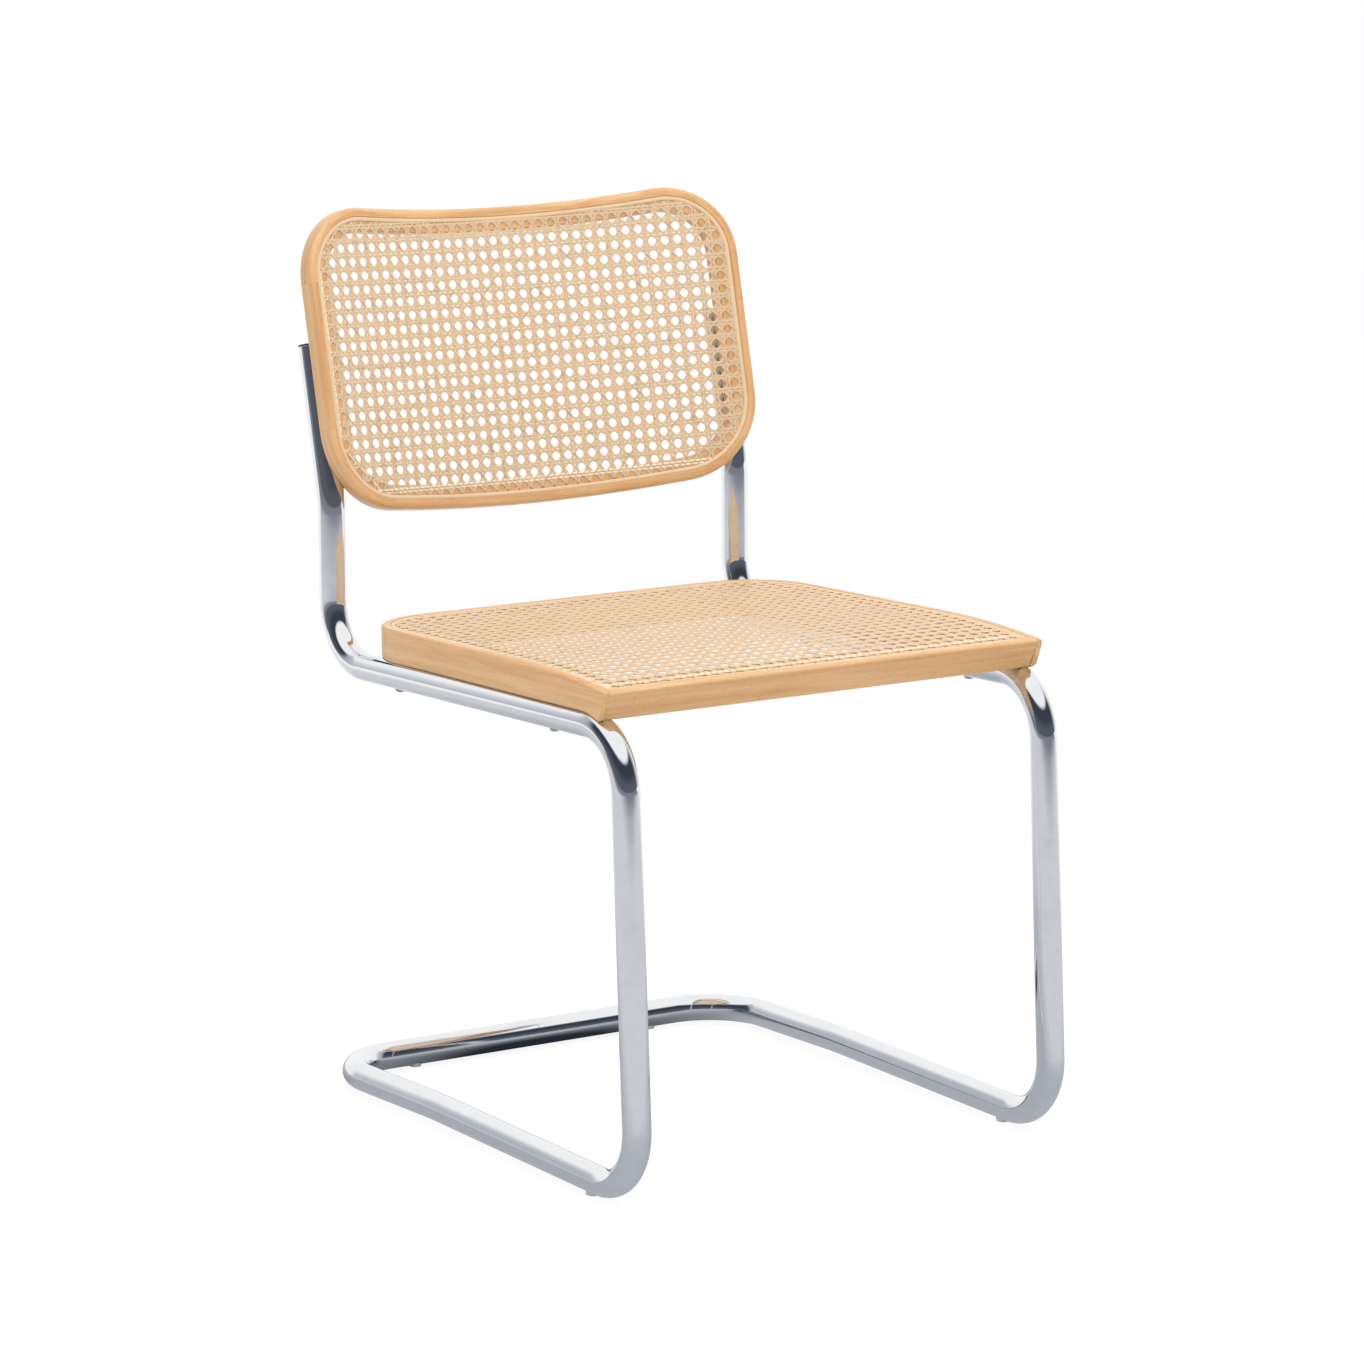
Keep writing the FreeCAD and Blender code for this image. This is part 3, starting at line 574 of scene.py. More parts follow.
class Finish:
    """A node tree and the one way in which nodes are added to it."""

    def __init__(self, owner):
        owner.use_nodes = True
        self.owner = owner
        self.tree = owner.node_tree
        self.tree.nodes.clear()

    def node(self, kind, settings=None, sockets=None, output=0):
        """Add a node: its settings first, then the values or links of its sockets."""
        made = self.tree.nodes.new(kind)
        for key, value in (settings or {}).items():
            setattr(made, key, value)
        for key, value in (sockets or {}).items():
            socket = made.inputs[key]
            if isinstance(value, Value):
                self.tree.links.new(value.socket, socket)
            else:
                socket.default_value = (*value, 1.0) if socket.type == "RGBA" else value
        return Value(self, made.outputs[output]) if made.outputs else None

    def grain(self):
        """The place in the grain that is stored on the mesh."""
        return self.node("ShaderNodeAttribute", {"attribute_name": "grain"}, output="Vector")

    def place(self):
        """Object coordinates, in metres."""
        return self.node("ShaderNodeTexCoord", output="Object")

    def split(self, vector):
        """The three numbers of a vector."""
        made = self.node("ShaderNodeSeparateXYZ", {}, {"Vector": vector}).socket.node
        return [Value(self, made.outputs[axis]) for axis in "XYZ"]

    def noise(self, vector, stretch, detail=2.0, roughness=0.5, distortion=0.0):
        """Soft random value, about 0.3 to 0.7, at a vector times a number or one along each axis."""
        scale = stretch
        if isinstance(stretch, tuple):
            vector = self.node("ShaderNodeVectorMath", {"operation": "MULTIPLY"}, {0: vector, 1: stretch})
            scale = 1.0
        return self.node("ShaderNodeTexNoise", {}, {
            "Vector": vector, "Scale": scale, "Detail": detail, "Roughness": roughness,
            "Distortion": distortion,
        })

    def mix(self, share, first, second):
        """Two colours mixed by a share."""
        return self.node("ShaderNodeMix", {"data_type": "RGBA"}, {0: share, 6: first, 7: second}, 2)

    def bump(self, height, distance):
        """A normal from a height, for a relief that many metres deep."""
        return self.node("ShaderNodeBump", {}, {"Height": height, "Distance": distance, "Strength": 1.0})

    def principled(self, **sockets):
        """The surface shader and the output. Underscores in the names stand for spaces."""
        named = {key.replace("_", " "): value for key, value in sockets.items()}
        shader = self.node("ShaderNodeBsdfPrincipled", {}, named)
        self.node("ShaderNodeOutputMaterial", {}, {"Surface": shader})

    def light(self, kind, colour, strength=1.0):
        """An emission or a background of a colour."""
        return self.node(kind, {}, {"Color": colour, "Strength": strength})

    def seen_by(self, ray):
        """1 for rays of that kind, such as Is Glossy Ray, and 0 for others."""
        return self.node("ShaderNodeLightPath", output=ray)

    def either(self, share, first, second):
        """Two shaders mixed by a share."""
        return self.node("ShaderNodeMixShader", {}, {0: share, 1: first, 2: second})


def shade(colour, factor):
    """A colour times a number."""
    return tuple(factor * part for part in colour)


def wood_finish(f, light, dark, coat):
    """Lacquered beech: slow bands, fine fibres and short dark flecks, all drawn out along the grain."""
    grain = f.grain()
    bands = f.noise(grain, (5.0, 130.0, 130.0), detail=3.0, distortion=0.6)
    fibres = f.noise(grain, (22.0, 1500.0, 1500.0), detail=3.0, roughness=0.6)
    flecks = f.noise(grain, (210.0, 2100.0, 1300.0), detail=1.0).above(0.66, 0.04)
    clouds = f.noise(grain, 9.0)
    share = bands.spread(0.38, 0.66) * 0.55 + fibres.spread(0.3, 0.72) * 0.38
    base = f.mix(share + clouds.spread(0.3, 0.7) * 0.22, light, dark)
    f.principled(
        Base_Color=f.mix(flecks * 0.42, base, shade(dark, 0.62)),
        Roughness=fibres.spread(0.3, 0.7, 0.34, 0.50),
        Normal=f.bump(fibres * 0.6 - flecks * 0.8, 0.03 * MM),
        Coat_Weight=coat,
        Coat_Roughness=0.16,
        Specular_IOR_Level=0.45,
    )


def cane_finish(f, light, dark):
    """Strands of cane skin: a tone to each, lengthwise lines, painted shade along their edges, and now and
    then a node.
    """
    strand = f.grain()
    tone, _, across = f.split(strand)
    lines = f.noise(strand, (40.0, 26.0, 2600.0), detail=3.0, roughness=0.65)
    patches = f.noise(strand, (60.0, 38.0, 0.0))
    nodes = f.noise(strand, (90.0, 55.0, 0.0), detail=0.0).above(0.71, 0.03)
    # Painted shade: the strands darken towards their edges, standing in for the shadow between and under
    # crossing strands
    edge = abs(across).spread(0.40 * MM, 0.95 * MM)
    share = tone * 0.42 + lines.spread(0.32, 0.7) * 0.34 + patches.spread(0.35, 0.68) * 0.34
    base = f.mix((share + edge * 0.4 - 0.24).spread(0.0, 1.0), light, dark)
    f.principled(
        Base_Color=f.mix(nodes * 0.5, base, shade(dark, 0.6)),
        Roughness=lines.spread(0.3, 0.7, 0.32, 0.52),
        Normal=f.bump(lines, 0.05 * MM),
        Coat_Weight=0.15,
        Coat_Roughness=0.2,
    )


def reed_finish(f, light, dark):
    """A round reed: long soft fibres and a thin lacquer."""
    grain = f.grain()
    fibres = f.noise(grain, (30.0, 2300.0, 2300.0), detail=3.0, roughness=0.6)
    patches = f.noise(grain, 35.0)
    f.principled(
        Base_Color=f.mix(fibres.spread(0.3, 0.72) * 0.5 + patches.spread(0.35, 0.7) * 0.2, light, dark),
        Roughness=fibres.spread(0.3, 0.7, 0.36, 0.5),
        Normal=f.bump(fibres, 0.04 * MM),
        Coat_Weight=0.2,
        Coat_Roughness=0.2,
    )


def chrome_finish(f, tint):
    """Bright plating: almost a mirror, with faint wipe marks and a hint of waviness from the bending."""
    place = f.place()
    wipes = f.noise(place, (90.0, 14.0, 90.0), detail=3.0, roughness=0.6)
    smudges = f.noise(place, 22.0, detail=3.0).above(0.60, 0.10)
    f.principled(
        Base_Color=f.mix(wipes.spread(0.35, 0.7) * 0.5 + smudges * 0.4, tint, shade(tint, 0.93)),
        Metallic=1.0,
        Roughness=wipes.spread(0.3, 0.7, 0.045, 0.085) + smudges * 0.03,
        Normal=f.bump(f.noise(place, 28.0, detail=1.0), 0.012 * MM),
    )


def steel_finish(f, tint):
    """Zinc plate: fine turning marks and a cloudy passivation."""
    place = f.place()
    clouds = f.noise(place, 260.0, detail=3.0)
    fine = f.noise(place, 2400.0)
    f.principled(
        Base_Color=f.mix(clouds.spread(0.35, 0.68), tint, shade(tint, 0.72)),
        Metallic=1.0,
        Roughness=fine.spread(0.3, 0.7, 0.26, 0.40),
        Normal=f.bump(fine, 0.01 * MM),
    )


def moulded_finish(f, tint):
    """Moulded plastic: a fine spark-eroded texture with scuffs."""
    place = f.place()
    texture = f.noise(place, 3200.0)
    scuffs = f.noise(place, (900.0, 160.0, 900.0)).above(0.62, 0.06)
    paler = tuple(min(1.6 * part + 0.02, 1.0) for part in tint)
    f.principled(
        Base_Color=f.mix(scuffs * 0.35, tint, paler),
        Roughness=texture.spread(0.3, 0.7, 0.42, 0.6),
        Normal=f.bump(texture, 0.02 * MM),
    )


def finish_for(slot):
    """The material of a slot, made when it is first asked for."""
    colours = bpy.context.scene.chair_colours
    name, maker, values = {
        "chrome_tube": ("bright_chrome", chrome_finish, (colours.chrome,)),
        "steel": ("zinc_plate", steel_finish, (colours.steel,)),
        "plug_plastic": ("black_moulding", moulded_finish, (colours.plug,)),
        "glide_plastic": ("grey_moulding", moulded_finish, (colours.glide,)),
        "frame_wood": ("lacquered_bentwood", wood_finish, (colours.wood, colours.wood_dark, 0.35)),
        "dowel_wood": ("raw_beech", wood_finish, (colours.dowel, colours.wood_dark, 0.0)),
        "cane": ("cane_skin", cane_finish, (colours.cane, colours.cane_dark)),
        "spline_reed": ("round_reed", reed_finish, (colours.reed, colours.cane_dark)),
    }[slot]
    if name not in bpy.data.materials:
        maker(Finish(bpy.data.materials.new(name)), *values)
    return bpy.data.materials[name]


def tube_rings(layout, side):
    """One half of the frame as a closed skin: out along the outside, back along the bore.

    A ring is centre + r (cos a side + sin a ahead x side). The ends have a small chamfer.
    """
    tube = layout.tube
    radii = (tube.kink, tube.bend, tube.bend, tube.bend, tube.runner_kink, tube.corner)
    centres, sides = bent_route(layout.tube_corners(side), radii, (1.0, 0.0, 0.0), math.radians(2.5))
    chamfer, around = 0.25 * MM, 64
    first = unit(centres[1] - centres[0])
    last = unit(centres[-1] - centres[-2])
    ends = (1, len(centres) - 1)
    centres = np.insert(centres, ends, (centres[0] + first * chamfer, centres[-1] - last * chamfer), 0)
    sides = np.insert(sides, ends, (sides[0], sides[-1]), 0)
    ahead = unit(np.gradient(centres, axis=0))
    ahead[:2] = first
    ahead[-2:] = last
    sides = unit(sides - ahead * np.einsum("ij,ij->i", sides, ahead)[:, None])
    across = np.cross(ahead, sides)
    outer = np.full((len(centres), 1, 1), layout.radius)
    outer[[0, -1]] -= chamfer
    angle = np.linspace(0.0, 2 * math.pi, around, endpoint=False)[None, :, None]
    spoke = np.cos(angle) * sides[:, None] + np.sin(angle) * across[:, None]
    outside = centres[:, None] + spoke * outer
    inside = centres[:, None] + spoke * (layout.radius - tube.wall)
    return np.concatenate((outside, inside[::-1]))


def seat_profile(layout):
    """Section of a seat rail: insets, offsets from the top or the underside, and which of the two."""
    rail, edge, land = layout.seat.rail, layout.seat.edge, layout.cane.land
    arris, from_opening, from_edge, step = 1.2 * MM, 3 * MM, 0.5 * MM, 1.0 * MM
    edge_inset, edge_depth = rounding(edge)
    places = layout.rebate_places()
    nest = np.arange(rail - from_opening, edge + from_edge, -step)
    top = np.r_[edge_inset, places, rail - arris, rail]
    depth = np.r_[edge_depth, layout.rebate(places), land, land + arris]
    inset = np.r_[edge_inset[::-1], top, rail, rail - arris, nest]
    offset = np.r_[edge_depth[::-1], depth, arris, np.zeros(len(nest) + 1)]
    is_top = np.zeros(len(inset), bool)
    is_top[len(edge_inset):len(edge_inset) + len(top)] = True
    return inset, offset, is_top


def front_round(distance_in, radius):
    """Extra depth near a rounded edge: r - sqrt(r^2 - (r - d)^2) up to a radius from it."""
    short = np.clip(radius - distance_in, 0.0, radius)
    return radius - np.sqrt(radius ** 2 - short ** 2)


def seat_heights(layout, x, y, offset, is_top):
    """Heights of section points from the seat's top or its underside, clear of the tube."""
    edge = layout.seat.edge
    top = layout.seat_over(y) - offset - front_round(y - layout.seat_front, edge)
    low = layout.seat_under(y) + offset + front_round(y - layout.front_foot, edge)
    return np.where(is_top, top, np.maximum(low, layout.tube_over(x, y)))


def front_face(layout, z):
    """How far forward the seat's front face is at a height: a straight line from foot to top."""
    low_z = layout.seat_under(layout.front_foot)
    top_z = layout.seat_over(layout.seat_front)
    share = np.clip((z - low_z) / (top_z - low_z), 0.0, 1.0)
    return layout.front_foot + share * (layout.seat_front - layout.front_foot)


def lip_rings(layout, side, profile):
    """The bent rail's lip past the front joint: its section is cut off at the lip's width.

    At a share t from the joint to the front face, y = joint + t (face(z) - joint), and z is the
    section's height at that y, found in a few rounds.
    """
    inset, offset, is_top = profile
    lip, joint = layout.seat.lip, layout.seat_joint
    beyond = np.flatnonzero(inset > lip)
    order = np.arange(len(inset))
    inner = (order >= beyond[0]) & (order <= beyond[-1])
    down = np.clip((order - beyond[0]) / (beyond[-1] - beyond[0]), 0.0, 1.0)
    run = joint - layout.seat_front
    near_face = np.array((3.0, 2.2, 1.5, 0.9, 0.45, 0.15, 0.0)) * MM
    shares = np.r_[np.linspace(0.006, 0.75, 4), 1 - near_face / run][:, None]
    y = np.broadcast_to(joint - shares * run, (len(shares), len(inset)))
    for _ in range(5):
        x = layout.seat_half(y) - np.minimum(inset, lip)
        z = seat_heights(layout, x, y, offset, is_top)
        z_top = seat_heights(layout, x, y, 0.0, True)
        z_low = seat_heights(layout, x, y, 0.0, False)
        z = np.where(inner, z_top + down * (z_low - z_top), z)
        y = joint + shares * (front_face(layout, z) - joint)
    return grid(side * x, y, z)


def seat_bent_rail(layout):
    """Side and back rail in one: the section carried round the seat's outline, with a lip at each end."""
    profile = seat_profile(layout)
    inset, offset, is_top = profile
    gap, step = 0.05 * MM, 8 * MM
    front, back = layout.seat_joint + gap, layout.seat_back
    front_x, back_x = layout.seat_half(front), layout.seat_half(back)
    corners = [(-front_x, front, 0), (-back_x, back, 0), (back_x, back, 0), (front_x, front, 0)]
    inward = np.cross(unit(np.array(corners[1]) - corners[0]), (0, 0, 1))
    route, inward = bent_route(corners, (layout.seat.corner,) * 2, inward, run_step=step)
    x, y = carried(route, inward, inset)
    middle = grid(x, y, seat_heights(layout, x, y, offset, is_top))
    rings = np.concatenate((lip_rings(layout, -1, profile)[::-1], middle, lip_rings(layout, 1, profile)))
    grain = grid(travelled(rings[:, 0, :2]), inset, rings[..., 2])
    return rings, grain + (0.0, 0.31, 0.12)


def seat_front_rail(layout):
    """Front rail: a section behind the leaning front face, carried across the seat.

    Its top has the rebate's depth at the smaller of the insets from the front and from the side,
    so that the groove turns square round both front corners.
    """
    seat = layout.seat
    arris, gap, bevel, rings_across = 0.8 * MM, 0.15 * MM, 0.3 * MM, 21
    on_front_land, on_side_land = 12 * MM, 20 * MM
    from_joint, from_edge, step = 2 * MM, 1.2 * MM, 1.5 * MM
    edge_inset, edge_depth = (part[1:] for part in rounding(seat.edge))
    deep = layout.seat_joint - gap - layout.front_foot
    places = layout.rebate_places()
    top = np.r_[edge_inset, places, seat.rail - on_front_land, seat.rail - gap - arris, seat.rail - gap]
    flat = np.r_[deep, deep - arris, np.arange(deep - from_joint, seat.edge + from_edge, -step)]
    low = np.r_[flat, edge_inset[::-1]]
    rise = np.r_[arris, np.zeros(len(flat) - 1), edge_depth[::-1]]
    y = np.r_[layout.seat_front + top, layout.front_foot + low]
    is_top = np.arange(len(y)) < len(top)
    half = layout.seat_half(y)
    end = layout.half + seat.side_front - seat.lip - gap
    side_places = np.r_[places, on_side_land, seat.rail][:, None]
    left = np.concatenate((np.full((1, len(y)), -end), side_places - half))
    middle = np.linspace(-1.0, 1.0, rings_across)[1:-1, None] * (half - seat.rail)
    x = np.concatenate((left, middle, -left[::-1]))
    inset = np.minimum(np.r_[top, np.full(len(low), seat.rail)], half - np.abs(x))
    depth = layout.rebate(inset)
    depth[:, len(top) - 1] += arris
    offset = np.where(is_top, depth, np.r_[np.zeros(len(top)), rise])
    rings = bevelled(grid(x, y, seat_heights(layout, x, y, offset, is_top)), bevel)
    return rings, rings + (3.1, 0.7, 0.2)


def back_profile(layout):
    """Section of a backrest rail: insets from the outline and radii of the backrest's curve."""
    back, face, rear = layout.back, layout.back_face, layout.back_rear
    rail, land, arris, from_edge, step = back.rail, layout.cane.land, 1.2 * MM, 0.3 * MM, 0.5 * MM
    edge_inset, edge_depth = rounding(back.edge, 7)
    inner_inset, inner_depth = rounding(back.inner_round, 12)
    places = layout.rebate_places()
    flat = np.arange(rail - back.inner_round - step, back.edge + from_edge, -step)
    inset = np.r_[edge_inset[::-1], edge_inset, places, rail - arris, rail, rail - inner_inset, flat]
    front = face + np.r_[edge_depth, layout.rebate(places), land, land + arris]
    radius = np.r_[rear - edge_depth[::-1], front, rear - inner_depth, np.full(len(flat), rear)]
    return inset, radius


def back_rail(layout, route, inward, start):
    """A backrest rail: the section carried along part of the outline and bent to the curve.

    Its grain begins at a place of its own, so that no two rails look alike.
    Its rear face has a channel for the upright, where it stays ahead of the tube:
    y <= -sqrt(r^2 - (|x| - half spacing)^2), up to the upright's end.
    """
    inset, radius = back_profile(layout)
    room, bevel = 0.1 * MM, 0.1 * MM
    x, z = carried(route, inward, inset)
    y = layout.back_y(radius, x)
    off = np.abs(np.abs(x) - layout.half)
    beside = (off < layout.radius + room) & (z < layout.tube.above_kink + PLUG_ROOM)
    y = np.where(beside, np.minimum(y, -tube_height(layout.radius + room, off)), y)
    rings = bevelled(grid(x, y, z), bevel)
    return rings, grid(travelled(rings[:, 0]), inset, rings[..., 1] + 0.5) + start


def back_corner_rail(layout, upper):
    """Route of the top or bottom rail, from one joint with the stiles to the other."""
    joint = layout.back_high_joint if upper else layout.back_low_joint
    points, radii = layout.back_end(upper)
    corners = [(-layout.back_half, joint, 0), *points, (layout.back_half, joint, 0)]
    arc_step, long_step = math.radians(1.5), 6 * MM
    return bent_route(corners, radii, (1.0, 0.0, 0.0), arc_step, long_step=long_step)


def back_stile(layout, side):
    """Route of a stile between the top and the bottom rail, with close rings where the tube ends."""
    gap, close = 0.05 * MM, 0.1 * MM
    low, high = layout.back_low_joint + gap, layout.back_high_joint - gap
    plug = layout.tube.above_kink + PLUG_ROOM
    z = np.r_[np.linspace(low, plug - close, 12), np.linspace(plug + close, high, 7)]
    return grid(side * layout.back_half, z, 0.0), np.repeat([(-float(side), 0.0, 0.0)], len(z), 0)


def spline_rings(layout, corners, radii, side, surface):
    """The reed: its section carried round a whole outline, with its depths under a surface.

    The section is a strip whose crowned top is 1 - sqrt(1 - u^2) lower at its sides.
    """
    cane, step = layout.cane, 10 * MM
    gap, sunk, crown_height, crown_end, foot = 0.12 * MM, 0.25 * MM, 1.1 * MM, 0.92, 0.9
    crown = np.linspace(-crown_end, crown_end, 9)
    half = cane.groove / 2 - gap
    across = np.r_[-foot, crown / crown_end, foot]
    inset = cane.rim + cane.groove / 2 + half * across
    deep = cane.groove_depth - gap
    depth = np.r_[deep, sunk + (1 - np.sqrt(1 - crown ** 2)) * crown_height, deep]
    route, inward = (part[:-1] for part in bent_route(corners, radii, side, run_step=step, long_step=step))
    rings = surface(*carried(route, inward, inset), depth)
    return rings, grid(travelled(route), inset, depth)


def seat_spline(layout):
    """The reed round the seat, mitred at the front."""
    back, front, radius = layout.seat_back, layout.seat_front, layout.seat.corner
    wide, narrow = layout.seat_half(front), layout.seat_half(back)
    outline = ((0, back), (narrow, back), (wide, front), (-wide, front), (-narrow, back), (0, back))
    corners = [(x, y, 0) for x, y in outline]
    return spline_rings(layout, corners, (radius, 0, 0, radius), (0.0, -1.0, 0.0), layout.on_seat)


def back_spline(layout):
    """The reed round the backrest, in the groove of its hollow face."""
    over, over_radii = layout.back_end(True)
    under, under_radii = layout.back_end(False)
    start = (layout.back_half, (layout.back_low_joint + layout.back_high_joint) / 2, 0)
    corners = [start, *over[::-1], *under, start]
    return spline_rings(layout, corners, over_radii + under_radii, (-1.0, 0.0, 0.0), layout.on_back)


# Section of a strand: shares of its width and thickness, flat below and crowned on top
STRAND_ACROSS = np.array((-0.5, -0.5, -0.27, 0.27, 0.5, 0.5))
STRAND_UP = np.array((-0.5, 0.05, 0.5, 0.5, 0.05, -0.5))


class Weave:
    """One woven panel: an inset function that bounds it, and a surface that its flat pattern lies on."""

    def __init__(self, layout, inset, surface, extent, phase, seed):
        self.cane = layout.cane
        self.inset = inset
        self.surface = surface
        self.extent = extent
        self.phase = phase
        self.random = np.random.default_rng(seed)

    def lay(self, start, step, stations, level, across, breadth):
        """Strands as closed strips of six-sided rings.

        Strand i has its middle at start_i + t * step for the stations t, which are cut where the
        inset is the middle of the groove. It rides at level(t), drops into the groove at its ends by
        a share 3 s^2 - 2 s^3, and wanders a little.
        """
        cane, random = self.cane, self.random
        samples, least, before_groove, deep = 1600, 8, 0.6 * MM, 3.4 * MM
        middle_groove = cane.rim + 0.5 * cane.groove
        dense = np.linspace(stations[0], stations[-1], samples)
        line = start[:, None] + step * dense[None, :, None]
        inside = self.inset(line[..., 0], line[..., 1]) > middle_groove
        kept = inside.sum(1) > least
        start, inside = start[kept], inside[kept]
        count = len(start)
        first = dense[inside.argmax(1)]
        last = dense[len(dense) - 1 - inside[:, ::-1].argmax(1)]
        t = np.clip(stations[None], first[:, None], last[:, None])
        phase = random.uniform(0, 2 * math.pi, (2, count, 1))
        sway, shift, sway_length = 0.10 * MM, 0.07 * MM, 160 * MM
        wander = sway * np.sin(2 * math.pi * t / sway_length + phase[0])
        wander = wander + random.normal(0, shift, (count, 1))
        spread, swell, swell_length = 0.035, 0.04, 21 * MM
        uneven = random.normal(0, spread, (count, 1)) + swell * np.sin(t / swell_length + phase[1])
        centre = start[:, None] + step * t[..., None] + across * wander[..., None]
        open_edge = cane.rim + cane.groove + before_groove
        near_edge = self.inset(centre[..., 0], centre[..., 1])
        share = np.clip((open_edge - near_edge) / (open_edge - middle_groove), 0.0, 1.0)
        drop = deep * share * share * (3 - 2 * share)
        offset = (breadth * (1 + uneven))[..., None] * STRAND_ACROSS
        plane = centre[:, :, None] + across * offset[..., None]
        height = (level(t) - drop)[..., None] + cane.strand_thickness * STRAND_UP
        points = self.surface(plane[..., 0], plane[..., 1], height)
        tone = np.clip(random.normal(0.45, 0.22, count), 0.0, 1.0)
        own_place = tone + np.arange(count) * 3.0
        return points, grid(own_place[:, None, None], t[..., None], offset), t

    def shell(self, families):
        """Strands of several families joined into one mesh, without the steps that were cut to nothing."""
        shell = Shell()
        for points, grain, t in families:
            count, long, around = points.shape[:3]
            index = np.arange(count * long * around).reshape(count, long, around)
            real = np.diff(t, axis=1) > TINY
            quads = quads_between(index[:, :-1][real], index[:, 1:][real])
            begin = real.argmax(1)
            end = long - 1 - real[:, ::-1].argmax(1)
            rows = np.arange(count)
            used = np.unique(quads)
            renumber = np.zeros(index.size, int)
            renumber[used] = np.arange(len(used))
            faces = [renumber[part] for part in (quads, index[rows, begin][:, ::-1], index[rows, end])]
            shell.add(points.reshape(-1, 3)[used], faces, grain.reshape(-1, 3)[used])
        return shell

    def cells(self, pitch, axis):
        """Whole cell numbers that cover the panel along an axis."""
        low, high = (end / pitch - self.phase[axis] for end in self.extent[axis])
        return np.arange(math.floor(low) - 1, math.ceil(high) + 2)

    def pairs(self, upright):
        """Pairs of straight strands. Each goes over one and under the other strand of a crossing pair.

        The level is +-a sin(pi d / 2e) within 2e of a crossing, with d the distance to it.
        """
        cane = self.cane
        own, other = (0, 1) if upright else (1, 0)
        pitch = (cane.across, cane.along)
        repeat, begin = pitch[other], self.phase[other]
        across, step = np.eye(2)[own], np.eye(2)[other]
        lines, crossings = (
            (self.cells(pitch[axis], axis) + self.phase[axis]) * pitch[axis] for axis in (own, other)
        )
        offsets = [share * cane.pair for share in (-2.1, -1.0, 1.0, 2.1)] + [repeat / 2]
        stations = np.sort(np.concatenate([crossings + offset for offset in offsets]))
        swing = 0.24 * MM if upright else -0.24 * MM
        families = []
        for sign in (-1, 1):
            start = across * (lines + sign * cane.pair)[:, None]

            def level(t):
                away = t - (np.round(t / repeat - begin) + begin) * repeat
                wave = np.where(np.abs(away) < 2 * cane.pair, np.sin(math.pi * away / (2 * cane.pair)), 0.0)
                return swing * wave * sign

            families.append(self.lay(start, step, stations, level, across, cane.strand))
        return self.shell(families)

    def diagonals(self, lean):
        """Slanting strands, over the pairs that run one way and under those that run the other.

        They cross the pairs half way between their crossings. The level is a cosine with one
        period to a cell.
        """
        cane, swing = self.cane, 0.50 * MM
        columns = self.cells(cane.across, 0)
        slope = lean * cane.along / cane.across
        reach = len(columns) + len(self.cells(cane.along, 1))
        order = np.arange(-reach, reach) + 0.5
        start = grid(0.0, (self.phase[1] - lean * self.phase[0] + order) * cane.along)
        eighths = np.arange(columns[0] * 8, columns[-1] * 8 + 1)
        stations = (eighths / 8 + self.phase[0]) * cane.across

        def level(t):
            return -lean * swing * np.cos(2 * math.pi * (t / cane.across - self.phase[0]))

        across = unit(np.array((-slope, 1.0)))
        return self.shell([self.lay(start, np.array((1.0, slope)), stations, level, across, cane.slanting)])


def seat_weave(layout):
    """The seat's panel, a little under the rim, following the seat's top."""
    sunk = layout.cane.land - WEAVE_LIFT

    def surface(x, y, height):
        return layout.on_seat(x, y, sunk - height)

    wide = layout.seat_half(layout.seat_front)
    extent = ((-wide, wide), (layout.seat_front, layout.seat_back))
    return Weave(layout, layout.seat_inset, surface, extent, (0.0, 0.0), 11)


def back_weave(layout):
    """The backrest's panel, bent to its curve: x = R sin(a / R), y = centre + R cos(a / R)."""
    sunk, face = layout.cane.land - WEAVE_LIFT, layout.back_face

    def surface(a, z, height):
        radius = face + sunk - height
        x, y = radius * np.sin(a / face), layout.back_centre + radius * np.cos(a / face)
        return layout.in_back(grid(x, y, z))

    def inset(a, z):
        return layout.back_inset(face * np.sin(a / face), z)

    wide = face * math.asin(layout.back_half / face)
    extent = ((-wide, wide), (layout.back.bottom - layout.back.bottom_dip, layout.back.top))
    return Weave(layout, inset, surface, extent, (0.42, 0.095), 23)


def axes_on(origin, out, along):
    """A frame for a turned fitting: its own Z points out, and its Y runs along the tube."""
    z = unit(np.asarray(out, float))
    y = unit(np.asarray(along, float))
    return np.stack((np.cross(y, z), y, z)), np.asarray(origin, float)


def turned(profile, place, saddle=None, hexes=(), around=48):
    """A turned form: radii and heights carried round an axis, with the radii in hexes made hexagonal.

    A hexagon's radius is r cos 30 / cos((a mod 60) - 30). A saddle moves points whose height is
    nearer to the tube than its surface, h = sqrt(R^2 - x^2).
    """
    angle = np.linspace(0.0, 2 * math.pi, around, endpoint=False)
    radius, height = (np.repeat(part[:, None], around, 1) for part in np.array(profile).T)
    radius[list(hexes)] *= math.cos(math.pi / 6) / np.cos(np.mod(angle, math.pi / 3) - math.pi / 6)
    x, y = radius * np.cos(angle), radius * np.sin(angle)
    if saddle is not None:
        height = saddle(x, height)
    axes, origin = place
    return grid(x, y, height) @ axes + origin


